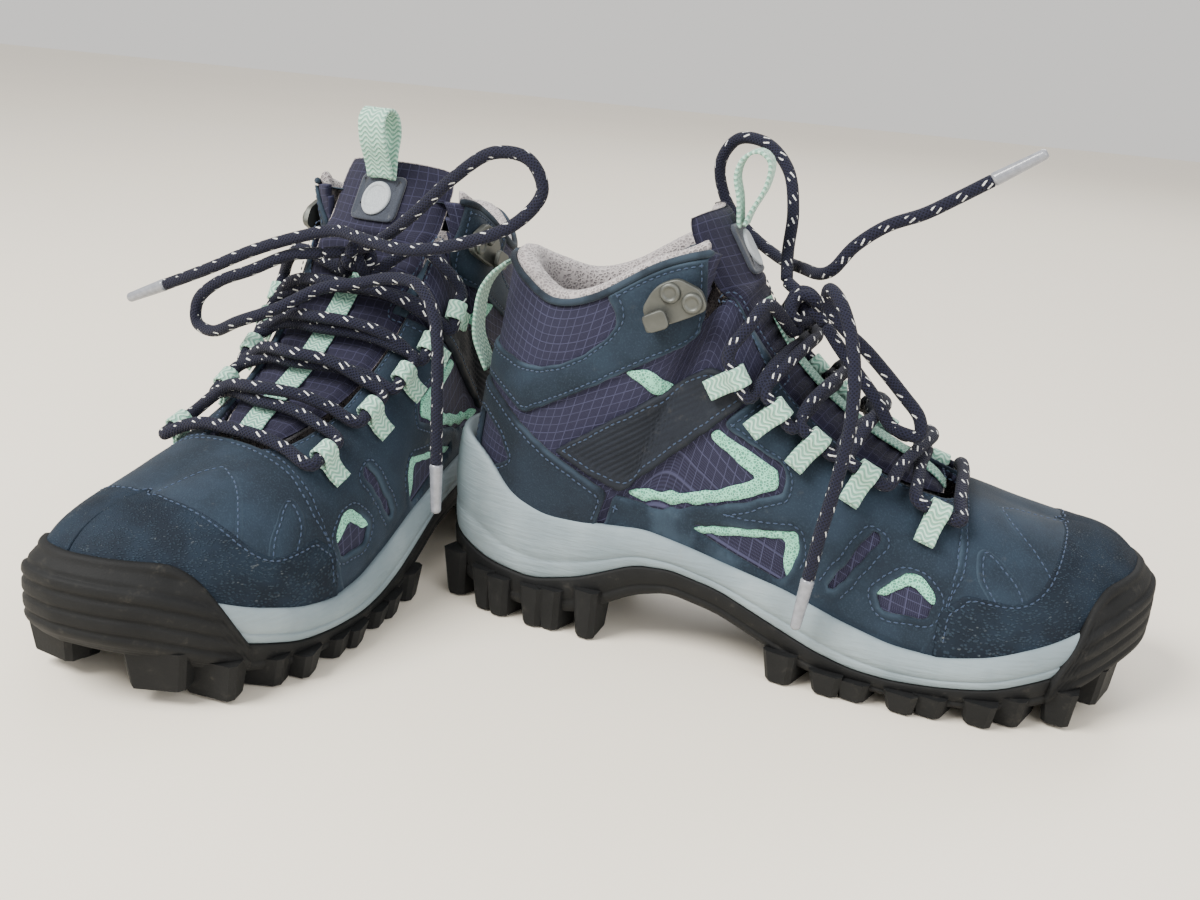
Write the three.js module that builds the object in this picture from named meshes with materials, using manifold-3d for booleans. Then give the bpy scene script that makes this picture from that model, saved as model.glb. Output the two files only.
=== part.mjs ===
// A pair of mid-height hiking boots, laced and tied in a bow.
// Units are millimetres and +Z is up. Both boots stand on z = 0.
// Each boot is made in its own frame: x runs from the back of the heel to the toe,
// +y is the lateral (outer) side, and the boot is then put in its place in the pair.

import * as THREE from 'three';
import { mergeVertices } from 'three/addons/utils/BufferGeometryUtils.js';
import Module from 'manifold-3d';

const wasm = await Module();
wasm.setup();

// ---------------------------------------------------------------- sizes

const BOOT_LENGTH = 290;         // heel to toe; every piece is stretched along the boot to suit
const BOOT_HEIGHT = 178;         // floor to the top of the tongue; every piece is stretched to suit
const DRAWN_LENGTH = 290;        // the length and height that the tables below are drawn for
const DRAWN_HEIGHT = 178;
const GAP = 0.3;                 // clearance between pieces that touch in the real boot
const SHELL = 3.0;               // textile upper with its lining
const LEATHER = 1.3;             // leather panels sewn on the textile
const STRAP = 2.0;               // ribbed strap between the panels
const BUMPER = 3.2;              // rubber in front of the toe
const BOARD = 2.2;               // lasting board under the foot
const INSOLE = 4.0;              // removable footbed
const LACE = 5.0;                // lace diameter
const DRAWN_LACE = 5.0;          // the bows' points are drawn for this diameter
const LACE_SIDES = 8;
const AGLET = 5.4;               // sleeve on the lace's end
const AGLET_LENGTH = 20;
const TONGUE_WIDTH = 57;
const TONGUE_THICK = 7;
const FOLD_HEIGHT = 150;         // the tongue's top folds here
const WEBBING = 1.4;             // webbing of the lace loops and pull loops
const LOOP_WIDTH = 8;            // one lace loop, along the lace
const PULL_WIDTH = 13;           // webbing of the pull loops
const PLATE = [22, 15, 2];       // lace hook's plate: length, height, thickness
const RIVET = 8;                 // rivet head's diameter
const TREAD = 1.0;               // share of the drawn tread depth
const SOLE_FLARE = 4.2;          // midsole's foot stands out from the upper
const SOLE_BULGE = 1.2;          // and its middle a little more
const SOLE_RIM = 3.6;            // and its top edge
const KNOT_RADIUS = 9;
const KNOT_FLAT = 0.8;           // the knot's height against its radius
const KNOT_LONG = 0.95;          // and its size along and across the boot
const KNOT_WIDE = 1.1;

// Where each boot stands: the back of its heel, and its turn about Z in degrees.
const CENTRE = [81.9, -18.5];
const RIGHT = { name: 'right', at: [0, 0], turn: 0, mirror: true };
const LEFT = { name: 'left', at: [-34.5, 119.5], turn: -98.97, mirror: false };

const COLOURS = {
  rubber: [0x323434, 0.85, 0],
  foam: [0xa5b4b9, 0.7, 0],
  board: [0xc9bda4, 0.9, 0],
  insole: [0x3a3f45, 0.95, 0],
  textile: [0x3e3e58, 0.9, 0],
  leather: [0x2d4256, 0.8, 0],
  strap: [0x2e3540, 0.8, 0],
  lining: [0xaaa0a0, 0.95, 0],
  tongue: [0x34344c, 0.9, 0],
  webbing: [0xa4d8bd, 0.85, 0],
  lace: [0x23263a, 0.85, 0],
  hook: [0x5f615c, 0.5, 0.6],
  aglet: [0xb8babd, 0.3, 0],
};

// ---------------------------------------------------------------- the last's skin

// Ribs from the toe's tip to the back of the heel. Each starts on the feather line, where the upper
// meets the sole, and ends on the ridge, or on the topline of the shaft.
// foot: x, z, lateral, medial. top: x, z, lateral, medial. power: how boxy the rib is.
// swell: how much wider than its foot the rib gets on its way up, lateral and medial.
// late: 1 where the rib goes up before it goes in. plain: 1 where it runs straight to the topline.
const RIBS = [
  { foot: [281, 37, -14, 14], top: [246, 66, -7, 7], swell: [0, 0], power: 2.5, late: 1, plain: 0 },
  { foot: [277, 35, 3, 28], top: [244, 66.5, -7, 7], swell: [0, 0], power: 2.5, late: 1, plain: 0 },
  { foot: [265, 31, 21, 36], top: [240, 67, -6.5, 6.5], swell: [0, 0], power: 2.5, late: 1, plain: 0 },
  { foot: [249, 27, 34, 40], top: [232, 69, -6, 6], swell: [0, 0], power: 2.5, late: 1, plain: 0 },
  { foot: [226, 22, 43, 42], top: [219, 73, -4, 4], swell: [0, 0], power: 2.6, late: 1, plain: 0 },
  { foot: [200, 19, 45, 39.5], top: [202, 79, -2.5, 2.5], swell: [0, 0], power: 3.0, late: 1, plain: 0 },
  { foot: [172, 23, 43, 34.5], top: [182, 89, -1, 1], swell: [1, 2], power: 3.3, late: 0.9, plain: 0 },
  { foot: [146, 31, 40.5, 31], top: [160, 101, 0, 0], swell: [4, 7], power: 3.8, late: 0.7, plain: 0 },
  { foot: [122, 37, 37.5, 30], top: [138, 118, 0, 0], swell: [8, 11], power: 4.0, late: 0.4, plain: 0 },
  { foot: [100, 41, 35.5, 31], top: [122, 140, 0, 0], swell: [9, 11], power: 4.2, late: 0.1, plain: 0 },
  { foot: [82, 42, 34.5, 32], top: [112, 160, 4, 4], swell: [7, 8], power: 4.2, late: 0, plain: 0.1 },
  { foot: [66, 41.5, 34, 32.5], top: [103, 163, 36, 36], swell: [8, 8], power: 3.0, late: 0, plain: 0.8 },
  { foot: [50, 40.5, 33, 32], top: [84, 156, 38.5, 38.5], swell: [8, 8], power: 3.0, late: 0, plain: 1 },
  { foot: [34, 39.5, 30.5, 30], top: [60, 141, 37.5, 37.5], swell: [4, 4], power: 3.0, late: 0, plain: 1 },
  { foot: [19, 38.5, 25, 25], top: [42, 136, 31.5, 31.5], swell: [0, 0], power: 3.0, late: 0, plain: 1 },
  { foot: [8, 38, 17, 17], top: [27, 141, 21, 21], swell: [0, 0], power: 3.0, late: 0, plain: 1 },
  { foot: [2.5, 38, 8.5, 8.5], top: [18, 146, 10, 10], swell: [0, 0], power: 3.0, late: 0, plain: 1 },
  { foot: [1, 38, 0, 0], top: [16, 147.5, 0, 0], swell: [0, 0], power: 3.0, late: 0, plain: 1 },
];
const LAST_RIB = RIBS.length - 1;
const RIB_STEPS = LAST_RIB;      // stations along one side of the boot
const RISE_STEPS = 6;            // stations up one rib

const spline = (a, b, c, d, t) => 0.5 * (2 * b + (c - a) * t
  + (2 * a - 5 * b + 4 * c - d) * t * t + (3 * b - a - 3 * c + d) * t * t * t);

// The rib at station s, from 0 at the toe to 1 at the heel.
function ribAt(s) {
  const place = Math.min(Math.max(s, 0), 1) * LAST_RIB;
  const low = Math.min(Math.floor(place), LAST_RIB - 1);
  const four = [low - 1, low, low + 1, low + 2].map((i) => RIBS[Math.min(Math.max(i, 0), LAST_RIB)]);
  const mix = (read) => spline(...four.map(read), place - low);
  return {
    foot: [0, 1, 2, 3].map((k) => mix((r) => r.foot[k])),
    top: [0, 1, 2, 3].map((k) => mix((r) => r.top[k])),
    swell: [0, 1].map((k) => mix((r) => r.swell[k])),
    power: mix((r) => r.power),
    late: Math.min(Math.max(mix((r) => r.late), 0), 1),
    plain: Math.min(Math.max(mix((r) => r.plain), 0), 1),
  };
}

// A point of the skin: station s, height v from the feather (0) to the ridge or topline (1).
function skin(s, side, v) {
  const rib = ribAt(s);
  const angle = v * Math.PI / 2;
  const rise = THREE.MathUtils.lerp(Math.pow(Math.sin(angle), 2 / rib.power), v, rib.plain);
  const drawIn = THREE.MathUtils.lerp(1 - Math.pow(Math.max(Math.cos(angle), 0), 2 / rib.power), v, rib.plain);
  const k = side > 0 ? 2 : 3;
  const forward = THREE.MathUtils.lerp(rise, drawIn, rib.late);
  const swell = rib.swell[k - 2] * rise * (1 - drawIn);
  return new THREE.Vector3(
    THREE.MathUtils.lerp(rib.foot[0], rib.top[0], forward),
    side * (THREE.MathUtils.lerp(rib.foot[k], rib.top[k], drawIn) + swell),
    THREE.MathUtils.lerp(rib.foot[1], rib.top[1], rise));
}

// The skin's outward normal.
function skinNormal(s, side, v) {
  const e = 1e-3;
  const along = skin(Math.min(s + e, 1), side, v).sub(skin(Math.max(s - e, 0), side, v));
  const up = skin(s, side, Math.min(v + e, 1)).sub(skin(s, side, Math.max(v - e, 0)));
  return along.cross(up).multiplyScalar(side).normalize();
}

const onSkin = (s, side, v, out) => skin(s, side, v).addScaledVector(skinNormal(s, side, v), out);

// The station and height whose skin point has the asked coordinates, such as { x, z } or { x, y }.
function findOnSkin(side, want) {
  const keys = Object.keys(want);
  const miss = (s, v) => {
    const p = skin(s, side, v);
    return keys.reduce((sum, key) => sum + (p[key] - want[key]) ** 2, 0);
  };
  let best = [0.5, 0.5];
  let step = 0.04;
  for (let s = 0; s <= 1; s += step) {
    for (let v = 0; v <= 1; v += step) {
      if (miss(s, v) < miss(...best)) best = [s, v];
    }
  }
  for (; step > 1e-5; step /= 2) {
    for (const [ds, dv] of [[1, 0], [-1, 0], [0, 1], [0, -1]]) {
      const next = [best[0] + ds * step, best[1] + dv * step].map((q) => Math.min(Math.max(q, 0), 1));
      if (miss(...next) < miss(...best)) best = next;
    }
  }
  return best;
}

// The skin as one welded grid of both sides: its corners, their normals and its faces.
function skinGrid() {
  const corners = [];
  const known = new Map();
  const corner = (p) => {
    const key = p.toArray().map((q) => Math.round(q * 1e4)).join();
    if (!known.has(key)) {
      known.set(key, corners.length);
      corners.push(p);
    }
    return known.get(key);
  };
  const at = (side) => Array.from({ length: RIB_STEPS + 1 }, (_, i) =>
    Array.from({ length: RISE_STEPS + 1 }, (__, j) => {
      const p = skin(i / RIB_STEPS, side, j / RISE_STEPS);
      return corner(p);
    }));
  const lateral = at(1);
  const medial = at(-1);
  const faces = [];
  const quad = (a, b, c, d) => {
    if (a !== b && b !== c && a !== c) faces.push([a, b, c]);
    if (a !== c && c !== d && a !== d) faces.push([a, c, d]);
  };
  for (let i = 0; i < RIB_STEPS; i += 1) {
    for (let j = 0; j < RISE_STEPS; j += 1) {
      quad(lateral[i + 1][j], lateral[i][j], lateral[i][j + 1], lateral[i + 1][j + 1]);
      quad(medial[i][j], medial[i + 1][j], medial[i + 1][j + 1], medial[i][j + 1]);
    }
  }
  const normals = corners.map(() => new THREE.Vector3());
  for (const [a, b, c] of faces) {
    const n = corners[c].clone().sub(corners[a]).cross(corners[b].clone().sub(corners[a]));
    [a, b, c].forEach((q) => normals[q].add(n));
  }
  normals.forEach((n) => n.normalize());
  return { corners, normals, faces, lateral, medial };
}
const GRID = skinGrid();
const layer = (out) => GRID.corners.map((p, i) => p.clone().addScaledVector(GRID.normals[i], out));

// ---------------------------------------------------------------- solids

const { Manifold, Mesh } = wasm;

// A closed solid from corners and triangles, turned so that its faces point outwards.
function solid(corners, faces) {
  const size = faces.reduce((sum, [a, b, c]) =>
    sum + corners[a].dot(corners[b].clone().cross(corners[c])), 0);
  const turned = size < 0 ? faces.map(([a, b, c]) => [a, c, b]) : faces;
  return new Manifold(new Mesh({
    numProp: 3,
    vertProperties: new Float32Array(corners.flatMap((p) => p.toArray())),
    triVerts: new Uint32Array(turned.flat()),
  }));
}

function fromGeometry(geometry) {
  const bare = new THREE.BufferGeometry();
  bare.setAttribute('position', geometry.getAttribute('position').clone());
  if (geometry.index) bare.setIndex(geometry.index);
  const welded = mergeVertices(bare, 1e-4);
  const place = welded.getAttribute('position');
  const corners = Array.from({ length: place.count }, (_, i) =>
    new THREE.Vector3().fromBufferAttribute(place, i));
  const faces = [];
  for (let i = 0; i < welded.index.count; i += 3) {
    const [a, b, c] = [0, 1, 2].map((k) => welded.index.getX(i + k));
    if (a !== b && b !== c && a !== c) faces.push([a, b, c]);
  }
  return solid(corners, faces);
}

const join = (...solids) => solids.reduce((a, b) => a.add(b));
const cut = (from, ...solids) => solids.reduce((a, b) => a.subtract(b), from);

// The largest of a solid's separate bodies.
const largest = (made) => made.decompose().sort((a, b) => b.volume() - a.volume())[0];

// A sheet that follows the skin between two depths, closed along its free edges.
function sheet(outer, inner, lift = 0) {
  const corners = [...layer(outer), ...layer(inner)];
  corners.forEach((p) => p.setZ(p.z + lift));
  const half = GRID.corners.length;
  const faces = [];
  const edges = new Map();
  for (const [a, b, c] of GRID.faces) {
    faces.push([a, b, c], [a + half, c + half, b + half]);
    for (const [p, q] of [[a, b], [b, c], [c, a]]) {
      if (edges.has(`${q},${p}`)) edges.delete(`${q},${p}`);
      else edges.set(`${p},${q}`, [p, q]);
    }
  }
  for (const [p, q] of edges.values()) {
    faces.push([q, p, p + half], [q, p + half, q + half]);
  }
  return solid(corners, faces);
}

// Two rings of stations on each side, stacked in levels and closed by caps across the boot.
// levels: functions of (s, side) that give one point each.
function stack(levels, from, to, steps) {
  const corners = [];
  const rows = levels.map((level) => Array.from({ length: steps + 1 }, (_, i) => {
    const s = THREE.MathUtils.lerp(from, to, i / steps);
    const pair = [level(s, 1), level(s, -1)];
    if (pair[0].distanceTo(pair[1]) < 1e-6) {
      corners.push(pair[0]);
      return [corners.length - 1, corners.length - 1];
    }
    corners.push(...pair);
    return [corners.length - 2, corners.length - 1];
  }));
  const faces = [];
  const quad = (a, b, c, d) => {
    if (a !== b && b !== c && a !== c) faces.push([a, b, c]);
    if (a !== c && c !== d && a !== d) faces.push([a, c, d]);
  };
  for (let i = 0; i < steps; i += 1) {
    for (let j = 0; j + 1 < levels.length; j += 1) {
      quad(rows[j][i + 1][0], rows[j][i][0], rows[j + 1][i][0], rows[j + 1][i + 1][0]);
      quad(rows[j][i][1], rows[j][i + 1][1], rows[j + 1][i + 1][1], rows[j + 1][i][1]);
    }
    const [low, high] = [rows[0], rows[levels.length - 1]];
    quad(low[i][0], low[i + 1][0], low[i + 1][1], low[i][1]);
    quad(high[i + 1][0], high[i][0], high[i][1], high[i + 1][1]);
  }
  return solid(corners, faces);
}

// The whole boot filled in, grown by a depth. Its underside is lowered by the same depth.
function filled(out) {
  const corners = layer(out);
  const faces = [...GRID.faces];
  const { lateral, medial } = GRID;
  const quad = (a, b, c, d) => {
    if (a !== b && b !== c && a !== c) faces.push([a, b, c]);
    if (a !== c && c !== d && a !== d) faces.push([a, c, d]);
  };
  const low = (side) => side.map((column) => {
    const p = corners[column[0]].clone();
    p.z -= Math.max(out, 0.01);
    return p;
  });
  const lateralLow = low(lateral).map((p) => corners.push(p) - 1);
  const medialLow = low(medial).map((p, i) =>
    (lateral[i][0] === medial[i][0] ? lateralLow[i] : corners.push(p) - 1));
  for (let i = 0; i < RIB_STEPS; i += 1) {
    quad(lateralLow[i + 1], lateralLow[i], lateral[i][0], lateral[i + 1][0]);
    quad(medialLow[i], medialLow[i + 1], medial[i + 1][0], medial[i][0]);
    quad(lateralLow[i], lateralLow[i + 1], medialLow[i + 1], medialLow[i]);
    quad(lateral[i + 1][RISE_STEPS], lateral[i][RISE_STEPS], medial[i][RISE_STEPS], medial[i + 1][RISE_STEPS]);
  }
  return solid(corners, faces);
}

// A ring of stations around the boot, grown outwards in plan by `out` from the feather, at height z(s).
const around = (out, z) => (s, side) => {
  const p = skin(s, side, 0);
  const ends = { 0: new THREE.Vector3(1, 0, 0), 1: new THREE.Vector3(-1, 0, 0) };
  const n = ends[s] ?? skinNormal(s, side, 0.02).setZ(0).normalize();
  p.addScaledVector(n, out);
  p.z = z(s, p);
  return p;
};

// An outline given in side view (x, z), made a prism from side y = a to y = b.
function sidePrism(outline, a, b) {
  const shape = new THREE.Shape(outline.map(([x, z]) => new THREE.Vector2(x, z)));
  const geometry = new THREE.ExtrudeGeometry(shape, { depth: b - a, bevelEnabled: false });
  geometry.rotateX(Math.PI / 2);
  geometry.translate(0, b, 0);
  return fromGeometry(geometry);
}

// An outline given in plan (x, y), made a prism from height a to b.
function planPrism(outline, a, b) {
  const shape = new THREE.Shape(outline.map(([x, y]) => new THREE.Vector2(x, y)));
  const geometry = new THREE.ExtrudeGeometry(shape, { depth: b - a, bevelEnabled: false });
  geometry.translate(0, 0, a);
  return fromGeometry(geometry);
}

// An outline moved outwards by a margin, or inwards where it is negative.
function grown(outline, margin) {
  const area = outline.reduce((sum, [x, y], i) => {
    const [u, v] = outline[(i + 1) % outline.length];
    return sum + x * v - u * y;
  }, 0);
  const turn = Math.sign(area);
  const normal = ([x, y], [u, v]) => {
    const length = Math.hypot(u - x, v - y);
    return [turn * (v - y) / length, turn * (x - u) / length];
  };
  return outline.map((here, i) => {
    const before = outline[(i + outline.length - 1) % outline.length];
    const after = outline[(i + 1) % outline.length];
    const a = normal(before, here);
    const b = normal(here, after);
    const mitre = margin / Math.max(1 + a[0] * b[0] + a[1] * b[1], 0.4);
    return [here[0] + (a[0] + b[0]) * mitre, here[1] + (a[1] + b[1]) * mitre];
  });
}

// A smooth route whose stations fall on its own points.
class Route extends THREE.CatmullRomCurve3 {
  constructor(points) {
    super(points, false, 'centripetal');
  }

  getSpacedPoints(count) {
    return this.getPoints(count);
  }

  getTangentAt(t, target) {
    return this.getTangent(t, target);
  }
}

// A round cord with one station at each of its points.
function cord(points, diameter) {
  const section = new THREE.Shape();
  for (let k = 0; k < LACE_SIDES; k += 1) {
    const angle = k * 2 * Math.PI / LACE_SIDES;
    const spot = [Math.cos(angle) * diameter / 2, Math.sin(angle) * diameter / 2];
    if (k === 0) section.moveTo(...spot);
    else section.lineTo(...spot);
  }
  section.closePath();
  return fromGeometry(new THREE.ExtrudeGeometry(section,
    { steps: points.length - 1, extrudePath: new Route(points), bevelEnabled: false }));
}

const point = ([x, y, z]) => new THREE.Vector3(x, y, z);

// ---------------------------------------------------------------- outlines of the upper, in side view

const TOE_CAP = [[203, 5], [204.5, 43], [213, 50], [230, 47.5], [237, 50], [244, 62], [249, 80],
  [300, 80], [300, 5]];
const VAMP = [[199, 30], [203, 46], [208.5, 58], [206, 76], [206, 100], [262, 100], [262, 40], [232, 30]];
const QUARTER = [[64, 20], [73, 63.5], [87, 61], [106, 64.5], [124, 70.5], [141, 78], [140, 88],
  [114, 101], [121, 108], [126, 114], [133, 119], [140, 125], [215, 90], [208, 76], [210, 58],
  [205, 30], [204, 10],
  [70, 10]];
const TRIANGLE_WINDOW = [[106, 57], [148, 63.5], [150, 58], [145.5, 42]];
const TOE_WINDOW = [[180, 45], [190.5, 54.5], [196, 54.5], [203, 46], [200, 38], [184, 38]];
const SLIT_WINDOW = [[161, 43], [176, 68.5], [180, 66], [164, 42]];
const HEEL_COUNTER = [[-20, 20], [-20, 98], [16, 94.5], [30, 85.5], [45, 77.5], [71, 64], [62, 20]];
const ANKLE_BAND = [[-20, 100], [-20, 118], [18, 111.5], [34, 108.5], [53, 116], [66, 127], [70, 133],
  [68, 139], [60, 147], [80, 175], [96, 175], [99, 132], [76, 116], [32, 89.5], [16, 97.5]];
const STRAP_START = 26;           // the strap stays this far from the boot's middle plane
const BIG_STRAP = [[47, 78], [107, 122], [113, 121], [121, 113], [122, 110], [76, 65]];
const THROAT = [[209, 3], [200, 19], [185, 24], [166, 26], [146, 27], [130, 28], [117, 29.5], [106, 30],
  [90, 30], [90, -29.5], [106, -29.5], [117, -29], [130, -27], [146, -24], [166, -22], [185, -19],
  [200, -14], [209, -7]];
const TONGUE_PLAN = [[203, 6], [196, 15], [184, 22], [166, 27], [146, 28], [130, 28.5], [104, 27.5],
  [104, -27.5],
  [130, -28.5], [146, -26], [166, -24], [184, -21], [196, -17], [203, -10]];
const THROAT_FLOOR = 64;

// ---------------------------------------------------------------- the sole

const MIDSOLE_TOP = [[-10, 76], [5, 73], [16, 68], [29, 55], [46, 50], [65, 50], [87, 51.5], [105, 48],
  [122, 44], [146, 39], [169, 31], [188, 26], [207, 24.5], [227, 28], [247, 34], [263, 41], [276, 48],
  [300, 54]];
const MIDSOLE_FOOT = [[-10, 30], [5, 27], [21, 23], [42, 21], [62, 26], [85, 36], [100, 37], [120, 33],
  [140, 25], [160, 17], [175, 13], [190, 12], [208, 13], [229, 15], [249, 20.5], [264, 27], [276, 33],
  [300, 38]];
const TREAD_TOP = [[-10, 12], [9, 8.5], [42, 6.5], [62, 9], [85, 22], [100, 26], [120, 22], [140, 14],
  [150, 9.5],
  [160, 6.5], [190, 4.5], [229, 5], [249, 8.5], [264, 14.5], [276, 20], [300, 26]];
const BUMPER_TOP = [[250, 38], [262, 43], [270, 50], [279, 56], [300, 58]];
const BUMPER_START = 261;

function heightOn(profile) {
  return (s, p) => {
    const next = Math.max(profile.findIndex(([x]) => x > p.x), 1);
    const [x0, z0] = profile[next - 1];
    const [x1, z1] = profile[next];
    return THREE.MathUtils.lerp(z0, z1, (p.x - x0) / (x1 - x0));
  };
}
const shifted = (height, lift) => (s, p) => height(s, p) + lift;
const blended = (low, high, share) => (s, p) => THREE.MathUtils.lerp(low(s, p), high(s, p), share);

const midTop = heightOn(MIDSOLE_TOP);
const midFoot = heightOn(MIDSOLE_FOOT);
const bumperTop = heightOn(BUMPER_TOP);

function wholeMidsole() {
  return stack([
    around(SOLE_FLARE, midFoot),
    around(SOLE_FLARE + SOLE_BULGE, blended(midFoot, midTop, 0.45)),
    around(SOLE_RIM, midTop),
  ], 0, 1, RIB_STEPS);
}

const toeSide = (from) => planPrism([[from, -BESIDE], [from, BESIDE], [330, BESIDE], [330, -BESIDE]], -10, 120);

function midsole(upper) {
  return cut(wholeMidsole(), upper, toeSide(BUMPER_START - GAP));
}

// One lug: a block with a flat foot, drawn by its middle, its length across and its width along.
function lug(x, y, across, along, turn, foot, top) {
  const half = (w, l) => [[-l, -w], [l, -w], [l, w], [-l, w]];
  const ring = (w, l, z) => half(w, l).map(([u, v]) => {
    const c = Math.cos(turn);
    const n = Math.sin(turn);
    return new THREE.Vector3(x + u * c - v * n, y + u * n + v * c, z);
  });
  const corners = [...ring(across / 2, along / 2, foot), ...ring(across / 2 + 1.6, along / 2 + 1.4, top)];
  const faces = [[0, 2, 1], [0, 3, 2], [4, 5, 6], [4, 6, 7]];
  for (let k = 0; k < 4; k += 1) {
    const m = (k + 1) % 4;
    faces.push([k, m, m + 4], [k, m + 4, k + 4]);
  }
  return solid(corners, faces);
}

// The lugs' foot line: flat from heel to ball, and rising with the toe.
const footLine = (x) => (x > 244 ? 0.010 * (x - 244) ** 2 : 0);

const HEEL_LUGS = { from: 9, to: 60, count: 5, across: 17, along: 7.6 };
const BALL_LUGS = { from: 160, to: 264, count: 7, across: 19, along: 10.5 };
const HEEL_PAD = { from: 31, to: 31, count: 1, across: 14, along: 26 };
const MIDDLE_LUGS = { from: 172, to: 246, count: 5, across: 17, along: 8.5 };

const LUG_SINK = 2.2;            // the lugs' tops end this far below the midsole's foot

function lugs() {
  const place = (row, k, y, turn) => {
    const x = THREE.MathUtils.lerp(row.from, row.to, k / Math.max(row.count - 1, 1));
    const reach = row.along / 2 + 3;
    const top = Math.min(midFoot(0, { x: x - reach }), midFoot(0, { x: x + reach })) - LUG_SINK;
    return lug(x, y(x), row.across, row.along, turn, footLine(x) * TREAD, top);
  };
  const made = [];
  for (const side of [1, -1]) {
    for (const row of [HEEL_LUGS, BALL_LUGS]) {
      const y = (x) => around(SOLE_FLARE, midFoot)(stationAt(x), side).y - side * (row.across / 2 - 2);
      for (let k = 0; k < row.count; k += 1) made.push(place(row, k, y, side * 0.22));
    }
  }
  for (let k = 0; k < MIDDLE_LUGS.count; k += 1) made.push(place(MIDDLE_LUGS, k, () => 1, 0.5));
  made.push(place(HEEL_PAD, 0, () => 0, 0));
  return made;
}

// The station whose feather point has this x.
function stationAt(x) {
  let [low, high] = [0, 1];
  for (let k = 0; k < 40; k += 1) {
    const middle = (low + high) / 2;
    if (ribAt(middle).foot[0] > x) low = middle;
    else high = middle;
  }
  return low;
}

function outsole(upper) {
  const tread = stack([
    around(SOLE_FLARE - 1.5, heightOn(TREAD_TOP)),
    around(SOLE_FLARE + 0.8, shifted(midFoot, -GAP)),
  ], 0, 1, RIB_STEPS);
  const outline = [[BUMPER_START, -5], ...BUMPER_TOP.filter(([x]) => x > BUMPER_START + 1), [330, -5]];
  outline.splice(1, 0, [BUMPER_START, bumperTop(0, { x: BUMPER_START })]);
  const bumper = filled(LEATHER_OUT + GAP + BUMPER).intersect(sidePrism(outline, -BESIDE, BESIDE));
  return join(tread, cut(bumper, upper), ...lugs());
}

// ---------------------------------------------------------------- the upper

const LEATHER_IN = GAP;
const LEATHER_OUT = GAP + LEATHER;
const STRAP_OUT = GAP + STRAP;
const STRIP_IN = STRAP_OUT + GAP;
const STRIP_OUT = STRIP_IN + WEBBING;
const PANEL_GAP = 0.6;
const BESIDE = 90;               // beyond either side of a boot
const SKY = 230;                 // above the whole boot

const throatCut = planPrism(THROAT, THROAT_FLOOR, SKY);

function upperShell() {
  return cut(sheet(0, -SHELL), throatCut);
}

// The room that the shell takes with its clearance, for what lies inside it and on its top edge.
function shellRoom() {
  const throat = planPrism(grown(THROAT, -GAP), THROAT_FLOOR, SKY);
  return cut(join(sheet(GAP, -SHELL - GAP), sheet(GAP, -SHELL - GAP, 2 * GAP)), throat);
}

function panels() {
  const leather = cut(sheet(LEATHER_OUT, LEATHER_IN), throatCut);
  const both = (outline) => sidePrism(outline, -BESIDE, BESIDE);
  const one = (outline, side) => (side > 0 ? sidePrism(outline, 1, BESIDE) : sidePrism(outline, -BESIDE, -1));
  const strapSeat = both(grown(BIG_STRAP, PANEL_GAP));
  const windows = [TRIANGLE_WINDOW, TOE_WINDOW, SLIT_WINDOW].map(both);
  const quarter = cut(leather.intersect(both(QUARTER)), both(grown(TOE_CAP, PANEL_GAP)),
    both(grown(VAMP, PANEL_GAP)), both(grown(HEEL_COUNTER, PANEL_GAP)), strapSeat, ...windows);
  const strap = cut(sheet(STRAP_OUT, LEATHER_IN), throatCut);
  return {
    toe_cap: leather.intersect(both(TOE_CAP)),
    vamp: cut(leather.intersect(both(VAMP)), both(grown(TOE_CAP, PANEL_GAP))),
    quarter_lateral: quarter.intersect(one(QUARTER, 1)),
    quarter_medial: quarter.intersect(one(QUARTER, -1)),
    heel_counter: cut(leather.intersect(both(HEEL_COUNTER)), strapSeat),
    ankle_band: cut(leather.intersect(both(ANKLE_BAND)), both(grown(HEEL_COUNTER, PANEL_GAP)), strapSeat),
    strap_lateral: strap.intersect(sidePrism(BIG_STRAP, STRAP_START, BESIDE)),
    strap_medial: strap.intersect(sidePrism(BIG_STRAP, -BESIDE, -STRAP_START)),
  };
}

const BED_DRAFT = 0.6;           // the shell leans in a little above the feather

// A layer inside the shell at the foot, from one height above the feather to another.
function bed(inset, low, high) {
  const lift = (dz) => (s) => ribAt(s).foot[1] + dz;
  return stack([around(-inset, lift(low)), around(-inset - BED_DRAFT, lift(high))], 0, 1, RIB_STEPS);
}

// ---------------------------------------------------------------- collar

const COLLAR_FROM = 11;          // the pad starts at this rib
const COLLAR_PAD = 8.5;
const COLLAR_PAD_FRONT = 3.6;    // the pad thins to this where it starts
const COLLAR_EASE = 2.2;         // and is full this many ribs further back
const COLLAR_SEAT = SHELL + GAP + 0.5;

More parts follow.
